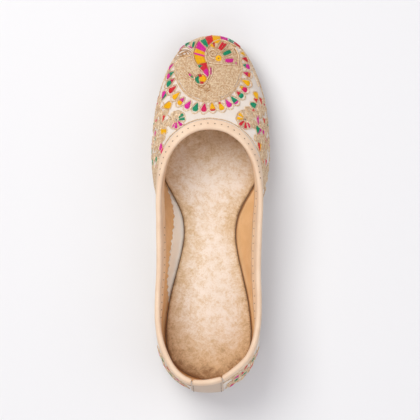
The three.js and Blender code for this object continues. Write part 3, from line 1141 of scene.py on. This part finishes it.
def bud(grid, length, half, silk):
    """A leaf of silk, its threads along it, with a cord round it."""
    length *= BUD_SCALE[0]
    half *= BUD_SCALE[1]
    for colour, left, right in shares(silk, -1, 1):
        satin(colour, grid, teardrop(length, half, 0, 1, left, right, 0.45), 90, crown=0.4)
    edge_points = [(u * 1.25, v * 1.18) for u, v in teardrop(length, half, 0.02, 1, -1, 1, 0.45)[::3]]
    cord("zari_side", grid, edge_points, 0.32, True)


def gold_leaf(grid, length, half):
    gold_fill(grid, almond(length, half))


flower(-24.1, 65.9, 6.7, [
    (38, "green"), (2, "green"), (-42, "magenta"), (-84, "magenta"), (-124, "magenta"),
    (82, "gold"), (124, "gold"), (166, "gold"), (208, "gold"),
])
flower(24.0, 66.6, 6.9, [
    (140, "yellow"), (178, "yellow"), (221, "red"), (-97, "red"), (-55, "crimson"),
    (98, "gold"), (58, "gold"), (18, "gold"), (-20, "gold"),
])

# Buds on the sides and the heel: where each is seen, its direction, length, half width and its silk,
# or its silks from edge to edge.
LEFT_BUDS = [
    (-33.4, 82.7, 60, 5.4, 2.7, [("magenta", -1, 0.35), ("green", 0.45, 1)]),
    (-37.2, 80.0, 75, 5.6, 1.3, [("green", -1, 0), ("red", 0.1, 1)]),
    (-31.4, 75.6, 0, 6.6, 2.2, "yellow"),
    (-33.2, 66.9, 80, 5.0, 1.0, "red"),
    (-38.4, 64.2, 60, 4.0, 1.0, "crimson"),
    (-33.8, 58.2, -30, 5.8, 2.3, "yellow"),
    (-38.8, 55.6, 70, 4.0, 1.0, "magenta"),
    (-38.4, 52.4, 85, 3.2, 0.9, "green"),
    (-34.8, 47.6, -60, 5.6, 1.5, "magenta"),
    (-33.7, 44.8, -80, 5.0, 1.1, "crimson"),
    (-41.0, 49.6, 85, 4.6, 1.1, "orange"),
    (-40.9, 43.0, 80, 4.4, 1.1, "green"),
    (-40.2, 35.4, 90, 5.6, 1.1, "green"),
    (-37.8, 37.2, 90, 4.4, 1.0, "green"),
    (-37.7, 33.8, -90, 2.6, 0.9, "magenta"),
]
RIGHT_BUDS = [
    (31.5, 83.0, 100, 5.2, 1.9, "yellow"),
    (31.2, 80.2, 90, 2.6, 1.4, "red"),
    (34.6, 79.4, 95, 4.6, 1.1, "red"),
    (29.7, 76.3, 90, 4.0, 2.2, "green"),
    (29.6, 73.4, -90, 2.4, 1.5, "red"),
    (32.6, 66.4, 90, 8.0, 0.9, "magenta"),
    (37.0, 65.7, 90, 3.6, 0.9, "red"),
    (33.2, 59.3, 60, 4.8, 2.4, [("green", -1, 0.3), ("magenta", 0.4, 1)]),
    (36.7, 57.4, 120, 4.0, 0.9, "magenta"),
    (38.3, 52.8, 100, 3.4, 1.0, "red"),
    (34.1, 47.4, 75, 5.2, 1.5, [("red", -0.9, 0.2), ("yellow", 0.3, 1)]),
    (36.5, 37.6, 90, 5.0, 1.3, "orange"),
    (38.5, 36.4, 90, 4.6, 1.0, "crimson"),
]
HEEL_SEEN_BUDS = [
    (-25.7, -113.8, -48, 4.2, 1.4, "crimson"), (-22.4, -117.7, -48, 3.6, 1.3, "green"),
    (-19.2, -120.6, -42, 5.0, 1.4, "red"), (24.0, -110.8, -128, 4.2, 1.5, "crimson"),
    (19.8, -115.4, -130, 5.6, 1.6, "green"), (17.2, -119.0, -142, 4.6, 1.4, "magenta"),
    (25.8, -112.4, -128, 1.8, 0.9, "red"),
]
for buds in (LEFT_BUDS, RIGHT_BUDS, HEEL_SEEN_BUDS):
    for x, y, turn, length, half, silk in buds:
        bud(spot(x, y, turn), length, half, silk)

# Leaves filled with gold: where each is seen, its direction, length and half width.
GOLD_LEAVES = [
    (-36.8, 75.4, 60, 6.4, 2.0), (-39.2, 72.4, 100, 6.0, 1.8), (-35.6, 70.6, 130, 6.0, 1.8),
    (-38.0, 68.2, 40, 5.0, 1.6), (-31.8, 71.2, 20, 5.2, 1.6), (-31.6, 63.0, 60, 5.6, 1.7),
    (-35.6, 60.6, 120, 5.2, 1.6), (-40.0, 60.2, 80, 6.0, 1.6), (-36.4, 57.0, 40, 4.6, 1.5),
    (-33.6, 53.6, 70, 5.6, 1.8), (-36.6, 50.6, 110, 6.2, 1.8), (-36.9, 45.4, 80, 5.0, 1.5),
    (-39.6, 39.2, 60, 5.0, 1.5), (-39.0, 30.2, 100, 6.2, 1.7), (-40.4, 26.6, 80, 5.6, 1.5),
    (-38.6, 24.0, 70, 5.6, 1.5), (-39.8, 19.4, 100, 5.6, 1.4), (-39.0, 14.4, 80, 5.6, 1.3),
    (-38.6, 9.6, 95, 5.0, 1.2), (-35.0, 51.4, 20, 5.6, 1.7), (-37.2, 62.6, 90, 5.2, 1.7),
    (-35.0, 66.2, 120, 4.8, 1.5), (-38.8, 47.2, 80, 5.6, 1.5), (-37.4, 54.2, 30, 5.0, 1.6),
    (-36.0, 48.6, 70, 4.8, 1.4), (-35.6, 79.4, 110, 5.0, 1.5), (-33.0, 60.8, 140, 4.6, 1.4),
    (26.4, 73.4, 150, 6.0, 1.9), (33.6, 74.0, 80, 5.6, 1.7), (36.2, 73.6, 100, 6.4, 1.7),
    (34.4, 70.4, 60, 5.2, 1.6), (31.0, 70.6, 120, 5.6, 1.7), (30.2, 63.4, 80, 5.4, 1.7),
    (35.2, 62.4, 95, 6.0, 1.7), (37.4, 61.0, 80, 5.2, 1.5), (34.2, 54.2, 20, 5.6, 1.9),
    (31.8, 53.6, 120, 4.6, 1.6), (36.0, 51.4, 60, 5.4, 1.6), (38.6, 48.0, 95, 6.2, 1.6),
    (-27.0, -111.4, -60, 4.2, 1.1), (-24.0, -115.8, -30, 4.0, 1.1), (-20.8, -119.3, -70, 4.2, 1.1),
    (26.0, -109.4, -110, 4.2, 1.1), (22.0, -113.2, -150, 4.2, 1.1), (18.6, -117.2, -120, 4.0, 1.1),
    (36.8, 44.4, 150, 5.4, 1.5), (36.4, 40.6, 100, 6.0, 1.7), (37.6, 55.0, 90, 5.6, 1.5),
    (38.6, 59.0, 95, 5.4, 1.4), (36.0, 47.6, 60, 5.2, 1.5), (38.8, 42.0, 90, 5.4, 1.5),
    (38.2, 31.2, 90, 6.0, 1.6), (37.0, 29.0, 80, 5.6, 1.4), (38.2, 25.0, 95, 5.6, 1.4),
    (37.4, 21.0, 90, 5.0, 1.2),
]
for x, y, turn, length, half in GOLD_LEAVES:
    leaf = almond(length * LEAF_SCALE[0], half * LEAF_SCALE[1])
    gold_fill(spot(x, y, turn), leaf, skein="zari_fill")

# Vines and borders, as seen.
VINES = [
    [(-33.1, 96.8), (-31.9, 100.4), (-29.8, 105.2), (-26.2, 111.2), (-21.8, 116.4), (-17.0, 120.0)],
    [(-38.0, 84.4), (-36.2, 89.8), (-34.4, 95.0), (-31.6, 102.6), (-28.0, 109.2), (-23.0, 115.8),
     (-17.2, 120.9), (-12.8, 122.8), (-8.6, 123.9), (-4.6, 124.6)],
    [(36.2, 83.6), (34.0, 90.6), (31.6, 96.8), (29.0, 103.0), (25.6, 109.4), (21.0, 115.8), (17.0, 119.9)],
    [(33.0, 90.0), (30.6, 96.6), (28.0, 102.8), (24.8, 108.9), (20.4, 115.0), (16.4, 118.9)],
    [(-33.6, 78.4), (-32.6, 73.4), (-30.2, 69.2), (-26.4, 66.8)],
    [(-41.6, 40.6), (-39.4, 42.3), (-36.6, 42.0), (-33.4, 41.6)],
    [(-41.4, 39.6), (-39.2, 41.2), (-36.4, 40.9), (-33.2, 40.4)],
    [(38.9, 42.9), (36.8, 41.7), (34.6, 43.4), (33.2, 45.0)],
    [(38.9, 44.0), (36.8, 42.8), (34.9, 44.4)],
    [(33.4, 78.6), (32.8, 74.0), (30.2, 69.6), (26.0, 67.2)],
    [(-36.6, 38.6), (-36.8, 33.0), (-37.4, 27.0), (-37.6, 20.0), (-37.8, 12.0)],
    [(-36.0, 39.0), (-36.1, 33.0), (-36.6, 27.0), (-36.9, 20.0), (-37.2, 12.0)],
    [(34.6, 40.6), (35.6, 34.6), (36.2, 28.6), (36.4, 22.6)],
]
for vine in VINES:
    cord("zari_side", by_eye, vine, VINE_RADIUS)

# Below the widest line, where the last turns in to the sole, one plain border.
for height in (11.0, 12.2):
    for side in (-1, 1):
        lay("zari_side", [on_wall(side, y, height) for y in range(14, 84, 2)], BORDER_RADIUS)
    lay("zari_side", [on_round(TOE_CENTRE_Y, a, height) for a in range(0, 181, 3)], BORDER_RADIUS)
for side in (-1, 1):
    for i, y in enumerate(range(18, 84, 7)):
        gold_leaf(wall_spot(side, y, 15.6, 60 if i % 2 else 120), 5.4, 1.5)


def wall_row(side, low_y, high_y, z, phase):
    """One wavy cord along a side wall at a height."""
    steps = round((high_y - low_y) / WAVE * 6)
    run = []
    for i in range(steps + 1):
        swing = 2 * math.pi * i / 6 + phase
        y = low_y + (high_y - low_y) * i / steps
        height = z + SWING * math.sin(swing) + 0.5 * math.sin(y * 0.35)
        run.append(on_wall(side, y, height, wavy(swing)))
    lay("zari_side", run, ROW_RADIUS)


# Toward the waist both walls are filled with gold, and the filling's foot rises to the back.
for side, back in ((-1, 7), (1, 19)):
    for i in range(21):
        z = 19 + i
        foot = back + max(0, 28 - z) ** 1.3 * 0.9
        front = 33 + 3.5 * math.sin(z * 0.55)
        if foot > front - 4:
            continue
        for phase in (0, math.pi):
            wall_row(side, foot, front, z, phase + i)

# Gold flowers low on the walls, each with a silk knot.
for side in (-1, 1):
    for i, (y, z) in enumerate(((77, 22), (63, 22.5), (49, 22.5))):
        for turn in range(15, 375, 60):
            lobe = [(-0.3, 1.0), (-1.5, 2.6), (-1.4, 4.2), (0, 4.9), (1.4, 4.2), (1.5, 2.6), (0.3, 1.0)]
            gold_fill(wall_spot(side, y, z, turn), lobe, BORDER_RADIUS)
        colour = ("crimson", "green", "magenta")[i]
        satin(colour, wall_spot(side, y, z, 0), almond(2.6, 1.2), 90, base=0.2)

# The heel's sprigs, the same both ways from the strap: angle round, height, turn, length, half width.
HEEL_BUDS = [
    (33, 40, 20, 4.6, 1.1, "magenta"), (42, 35, -10, 5.2, 1.2, "green"), (52, 31, 10, 5.0, 1.2, "crimson"),
    (48, 42, 30, 4.4, 1.0, "red"), (60, 38, -20, 5.0, 1.1, "green"), (26, 33, 0, 4.6, 1.1, "red"),
    (36, 26, 20, 4.6, 1.2, "yellow"), (66, 29, 10, 4.8, 1.1, "magenta"), (50, 21, -10, 4.6, 1.1, "orange"),
]
for side in (-1, 1):
    for around, height, turn, length, half, colour in HEEL_BUDS:
        bud(round_spot(HEEL_CENTRE_Y, -90 + side * around, height, turn * side), length, half, colour)
        for shift in (3.4, -3.4):
            near = round_spot(HEEL_CENTRE_Y, -90 + side * (around + shift), height + 4, 60 * side)
            gold_leaf(near, 4.6, 1.2)
    vine = [
        on_round(HEEL_CENTRE_Y, -90 + side * a, 33 + 6 * math.sin(a * 0.32)) for a in range(18, 76)
    ]
    lay("zari_side", vine, VINE_RADIUS)
    for height in (13.0, 45.0):
        line = [on_round(HEEL_CENTRE_Y, -90 + side * a, height) for a in range(17, 76, 2)]
        lay("zari_side", line, BORDER_RADIUS)


# ---------------------------------------------------------------- collar, tab and sole

def mark(obj, label, value_of):
    """Stores a value for each point of a mesh, from 0 to 1, that its material reads."""
    layer = obj.data.attributes.new(label, "FLOAT", "POINT")
    layer.data.foreach_set("value", [value_of(v) for v in obj.data.vertices])


def tree_of(obj):
    bm = bmesh.new()
    bm.from_mesh(obj.data)
    tree = BVHTree.FromBMesh(bm)
    bm.free()
    return tree


binding = subdivided(from_bmesh("collar_binding", merged("topline_binding")), 2)
soften(binding, False)
BINDING = tree_of(binding)


def on_top(tree, place):
    """The top of a piece above or below a place, or nothing where the piece isn't there."""
    return tree.ray_cast(Vector((place.x, place.y, 0.1)), -UP)[0]


def collar_span(start, out):
    """How far from start, in millimetres along out, the binding begins and ends, from above."""
    hits = [s * 0.25 for s in range(40, 320) if on_top(BINDING, start + out * s * 0.25 * MM)]
    return hits[0], hits[-1]


THROAT = Vector((0, 20 * MM, 0))  # the middle of the throat's round
THROAT_Z = 44 * MM
STITCH_INSET = 0.36  # how far across the binding its stitches are, from its outer edge
throat_stitches = []
piping_line = []
for i in range(97):
    turn = math.radians(-12 + i * 204 / 96)
    out = level(turn)
    near, far = collar_span(THROAT, out)
    piping_line.append(THROAT + out * (far + 1.0) * MM)
    if i % 3 == 1 and 8 < math.degrees(turn) < 172:
        place = THROAT + out * (far - STITCH_INSET * (far - near)) * MM
        throat_stitches.append((place, Vector((-out.y, out.x, 0))))

# A thin gold cord runs beside the binding round the throat.
raised = []
for place in piping_line:
    raised.append(off(OUTER, by_eye(*as_seen(Vector((place.x, place.y, THROAT_Z)))), 0.3))
lay("piping", raised, CORD_RADIUS)


def stitch(place, along, tree, length=0.9, middle_lift=0.05):
    """One short dark stitch, with its ends down in a piece and its middle just proud of it."""
    spots = [
        off(tree, place + along * part * length * MM, lift)
        for part, lift in ((-0.5, -0.15), (0.0, middle_lift), (0.5, -0.15))
    ]
    lay("stitches", spots, [0.2, 0.3, 0.2])


hollows = []
for place, along in throat_stitches:
    top = on_top(BINDING, place)
    stitch(top, along, BINDING)
    hollows.append(top)


def dimple(obj, places, radius, depth):
    """Presses small round hollows into a piece."""
    for vertex in obj.data.vertices:
        for place in places:
            away = (vertex.co - place).length
            if away < radius * 2:
                vertex.co.z -= depth * math.exp(-((away / radius) ** 2))


dimple(binding, hollows, 1.0 * MM, 0.25 * MM)
paint(binding, peach_leather, "binding_leather", "topline_binding")

# The binding's inner leg shows beside its roll as a paler band with a row of stitches.
FACING_BACK_Y = -80
FACING_FRONT_Y = 44
FACING_LEAN = {-1: 1.5, 1: 1.9}
FACING_STITCH_PITCH = 5.2


def facing_row(side, y):
    """From under the binding down the wall: places across the band, which leans in toward its foot."""
    start = Vector((0, y * MM, 0))
    across = Vector((side, 0, 0))
    near, _ = collar_span(start, across)
    fade = min(1.0, (y - FACING_BACK_Y) / 18, (FACING_FRONT_Y - y) / 26)
    width = FACING_LEAN[side] * max(0.12, fade)
    top = on_top(BINDING, start + across * (near + 0.8) * MM).z
    row = []
    for part in (-0.35, 0.0, 0.33, 0.66, 1.0):
        z = top - (3.2 + 4.2 * part * max(0.1, fade)) * MM
        wall = INNER.ray_cast(Vector((0, y * MM, z)), across)[0]
        out = (near - part * width) * MM
        if wall:
            out = min(out, abs(wall.x) - 0.4 * MM)
        row.append(Vector((side * out, y * MM, z)))
    return row


def strip(name, rows, lift, thickness):
    """A band through rows of places, laid on the wall and raised off it where lift is given."""
    across = len(rows[0])
    bm = bmesh.new()
    bmesh.ops.create_grid(bm, x_segments=len(rows) - 1, y_segments=across - 1, size=1)
    bm.verts.ensure_lookup_table()
    for vertex in bm.verts:
        i = round((vertex.co.x + 1) / 2 * (len(rows) - 1))
        j = round((vertex.co.y + 1) / 2 * (across - 1))
        vertex.co = off(INNER, rows[i][j], lift) if lift else rows[i][j]
    bmesh.ops.recalc_face_normals(bm, faces=bm.faces)
    obj = from_bmesh(name, bm)
    wall = obj.modifiers.new("thickness", "SOLIDIFY")
    wall.thickness = thickness
    wall.offset = 0
    return baked(obj)


for side, label in ((-1, "left"), (1, "right")):
    rows = [facing_row(side, y) for y in range(FACING_BACK_Y, FACING_FRONT_Y + 1, 2)]
    band = strip(f"facing_{label}", rows, None, 0.3 * MM)
    paint(band, facing_leather, "binding_leather")
    band_tree = tree_of(band)
    y = FACING_BACK_Y + 8.0
    while y < (-8 if side < 0 else 17):
        row = facing_row(side, y)
        near = on_top(band_tree, row[2].lerp(row[3], 0.3))
        if near:
            stitch(near, Vector((0, 1, 0)), band_tree, 0.8, 0.12)
        y += FACING_STITCH_PITCH

# A strip of canvas stiffens the left wall's foot: its edge is pinked and its other edge is under the pad.
CANVAS_BACK_Y = -64.0
CANVAS_FRONT_Y = 21.0
CANVAS_ROWS = 340
TOOTH = 3.8
CANVAS_WIDTHS = [
    (-64, 0.3), (-56, 2.4), (-48, 5.0), (-40, 6.4), (-32, 7.6), (-24, 8.4), (-16, 8.6), (-8, 7.6), (0, 5.8),
    (8, 3.8), (15, 2.0), (21, 0.3),
]
PAD = tree_of(frame["nodes"]["insole"])


def pad_edge(y):
    """Half the pad's width at y, in millimetres, on the left."""
    x = 60.0
    while x > 5 and not on_top(PAD, Vector((-x * MM, y * MM, 0))):
        x -= 0.2
    return x


def rim_place(start, out):
    """The pad's upper edge, going out from start."""
    reach = 5.0
    last = None
    while reach < 70:
        hit = on_top(PAD, start + out * reach * MM)
        if not hit:
            return last
        last = hit
        reach += 0.25
    return last


# A thin dark cord round the pad's rim paints the shadow in the gap against the wall, and stands for the
# pad's dark cut edge.
HEEL_HUB = Vector((0, HEEL_CENTRE_Y, 0))
rim_line = []
for y in range(64, round(HEEL_CENTRE_Y / MM), -3):
    rim_line.append(rim_place(Vector((0, y * MM, 0)), Vector((-1, 0, 0))))
for turn in range(180, 361, 5):
    rim_line.append(rim_place(HEEL_HUB, level(math.radians(turn))))
for y in range(round(HEEL_CENTRE_Y / MM) + 3, 66, 3):
    rim_line.append(rim_place(Vector((0, y * MM, 0)), Vector((1, 0, 0))))
for _ in range(2):
    middle = [(a + b * 2 + c) / 4 for a, b, c in zip(rim_line, rim_line[1:], rim_line[2:])]
    rim_line = rim_line[:1] + middle + rim_line[-1:]
lay("pad_edge", [p + UP * 0.12 * MM for p in rim_line], 0.23)


def canvas_width(y):
    for (back, low), (front, high) in zip(CANVAS_WIDTHS, CANVAS_WIDTHS[1:]):
        if y <= front:
            return low + (high - low) * (y - back) / (front - back)
    return CANVAS_WIDTHS[-1][1]


rows = []
for i in range(CANVAS_ROWS + 1):
    y = CANVAS_BACK_Y + (CANVAS_FRONT_Y - CANVAS_BACK_Y) * i / CANVAS_ROWS
    tooth = abs((y / TOOTH) % 1 - 0.5) * 2 - 0.5
    edge_x = pad_edge(y)
    width = canvas_width(y)
    width += (0.75 * tooth + 0.25 * math.sin(y * 0.9)) * min(1.0, width / 2)
    row = []
    for part in (-0.1, 0.2, 0.45, 0.7, 0.9, 1.0):
        place = Vector((-(edge_x + part * width) * MM, y * MM, 0))
        low = Vector((place.x, place.y, 12 * MM))
        row.append(on_top(INNER, place) or INNER.find_nearest(low)[0])
    rows.append(row)
paint(strip("pinked_canvas", rows, 0.45, 0.25 * MM), canvas, "lining_leather")

# The strap over the back of the collar, with a row of stitches down each edge.
STRAP_STITCH_X = 9.6 * MM
STRAP_STITCH_PITCH = 3.2
strap = subdivided(from_bmesh("heel_strap", merged("heel_tab")), 3)
soften(strap, False)
for vertex in strap.data.vertices:
    lip = math.exp(-(((vertex.co.z - 54.2 * MM) / (0.7 * MM)) ** 2))
    if vertex.co.y < -121 * MM:
        vertex.co.y += 0.35 * MM * lip


def strap_back_shade(vertex):
    """Painted shade, with a greyer tone, on the strap's back face below its fold: 1 there, fading to 0 over
    the fold.
    """
    if vertex.normal.y >= -0.1:
        return 0
    return min(1.0, max(0.0, (55.2 * MM - vertex.co.z) / (1.2 * MM)))


# The strap's back face is painted in shade, with a greyer tone.
mark(strap, "shade_tint", strap_back_shade)
STRAP = tree_of(strap)
paint(strap, peach_leather, "binding_leather", "heel_tab")
for side in (-1, 1):
    z = 51.5
    while z > 15:
        start = Vector((side * STRAP_STITCH_X, -0.16, z * MM))
        hit = STRAP.ray_cast(start, Vector((0, 1, 0)))[0]
        if hit:
            stitch(hit, UP, STRAP, 1.3, 0.12)
        z -= STRAP_STITCH_PITCH

# The sole and the heel.
sole = subdivided(from_bmesh("leather_outsole", merged("outsole")), 2)
paint(sole, sole_leather, "sole_leather", "outsole")
heel = from_bmesh("stacked_heel", merged("heel_lift"))
round_off = heel.modifiers.new("bevel", "BEVEL")
round_off.width = 0.5 * MM
round_off.segments = 3
round_off.limit_method = "ANGLE"
round_off.angle_limit = math.radians(50)
heel = baked(heel)
paint(heel, heel_leather, "heel_leather", "heel_lift")


# ---------------------------------------------------------------- the velvet insole

def pad_sides():
    """The pad's steep sides alone, to measure how near a point is to its rim."""
    bm = merged("insole")
    flat = [f for f in bm.faces if abs(f.normal.z) > 0.6]
    bmesh.ops.delete(bm, geom=flat, context="FACES")
    tree = BVHTree.FromBMesh(bm)
    bm.free()
    return tree


PAD_SIDES = pad_sides()
pad = subdivided(from_bmesh("velvet_insole", merged("insole")), 3)


def pad_fill(vertex):
    """How near a point is to the pad's rim, from 1 there to 0 well inside."""
    away = PAD_SIDES.find_nearest(vertex.co)[3]
    return math.exp(-((away / (1.3 * MM)) ** 2)) * 0.7 + math.exp(-((away / (5 * MM)) ** 2)) * 0.3


rims = [pad_fill(v) for v in pad.data.vertices]
facing_up = [v.normal.z > 0.3 for v in pad.data.vertices]
for vertex, rim, up in zip(pad.data.vertices, rims, facing_up):
    if up:
        lumps = noise.noise(Vector((vertex.co.x * 55, vertex.co.y * 40, 3.0)))
        fine = noise.noise(Vector((vertex.co.x * 260, vertex.co.y * 200, 9.0)))
        vertex.co.z += (0.45 * (1 - rim) + 0.28 * lumps + 0.1 * fine) * MM


def pad_shade(vertex):
    """Painted shade in the pile, with some darker lie of the pile: at the rim, in the heel's hollow and
    under the vamp.
    """
    y = vertex.co.y / MM
    heel_end = max(0.0, min(1.0, (-68 - y) / 46)) ** 1.6
    toe_end = max(0.0, min(1.0, (y - 20) / 46))
    rim = rims[vertex.index]
    return min(1.6, 1.5 * rim + 1.05 * heel_end + 0.75 * toe_end)


# The edge mark is the velvet's painted shade.
mark(pad, "edge", pad_shade)
paint(pad, velvet, "insole_velvet", "insole")


thread_piece("zari_disc", "zari_disc", zari, "zari_cord")
thread_piece("zari_edge", "zari_disc_edge", zari, "zari_cord", 6)
thread_piece("zari_petals", "zari_petals", zari, "zari_cord")
thread_piece("zari_side", "zari_leaves", zari, "zari_cord")
thread_piece("zari_fill", "zari_side_leaves", zari, "zari_cord")
thread_piece("antique", "zari_wing", antique_zari, "zari_cord", 6)
thread_piece("knots", "dark_knots", knot_thread, "silk_thread", 6)
thread_piece("piping", "throat_piping", zari, "zari_cord", 6)
# The pad's dark rim cord: painted shadow in the gap at the wall, and the pad's cut edge.
thread_piece("pad_edge", "insole_shadow_and_cut_edge", knot_thread, "insole_velvet", 6)
thread_piece("stitches", "dark_stitches", knot_thread, "silk_thread", 6)
for colour in SILKS:
    thread_piece(f"silk_{colour}", f"silk_{colour}", silks[colour], "silk_thread")


# ---------------------------------------------------------------- camera, light and floor

def look_from(position, target, up):
    """The rotation of a camera or lamp at position that faces target, with up at its top."""
    back = (position - target).normalized()
    right = up.cross(back).normalized()
    return Matrix((right, back.cross(right), back)).transposed().to_euler()


FRAME_WIDTH = 0.2949  # what the camera spans, at the height of the shoe's widest line
ROLL = math.radians(0.66)
camera_data = bpy.data.cameras.new("camera")
camera_data.lens = camera_data.sensor_width * (SIGHT.z - WIDE_Z) / FRAME_WIDTH
camera_data.clip_end = 20
camera = add_object("camera", camera_data)
camera.location = SIGHT
aim = Vector((0, SIGHT.y, WIDE_Z))
camera.rotation_euler = look_from(camera.location, aim, Vector((-math.sin(ROLL), math.cos(ROLL), 0)))
scene.camera = camera


def area_light(name, place, size, power, colour):
    data = bpy.data.lights.new(name, "AREA")
    data.size = size
    data.energy = power
    data.color = colour
    obj = add_object(name, data)
    obj.location = place
    obj.rotation_euler = look_from(obj.location, Vector((0, 0, 0.02)), Vector((0, 1, 0.01)))


area_light("key", (-0.55, 0.65, 1.25), 0.9, 15.5, (1.0, 0.985, 0.97))
area_light("fill", (0.9, -0.1, 1.1), 1.2, 4.5, (0.97, 0.98, 1.0))
area_light("back", (-0.1, -1.0, 0.9), 1.0, 4.0, (1.0, 0.99, 0.98))

world = bpy.data.worlds.new("studio")
world.use_nodes = True
world.node_tree.nodes["Background"].inputs["Color"].default_value = (0.935, 0.88, 1.0, 1)
world.node_tree.nodes["Background"].inputs["Strength"].default_value = 0.36
scene.world = world
scene.view_settings.view_transform = "Standard"

bm = bmesh.new()
bmesh.ops.create_grid(bm, x_segments=1, y_segments=1, size=3)
floor = from_bmesh("floor", bm)
floor_material = bpy.data.materials.new("floor_paint")
floor_material.use_nodes = True
floor_shader = floor_material.node_tree.nodes["Principled BSDF"]
floor_shader.inputs["Base Color"].default_value = (0.84, 0.85, 0.84, 1)
floor_shader.inputs["Roughness"].default_value = 0.8
floor.data.materials.append(floor_material)
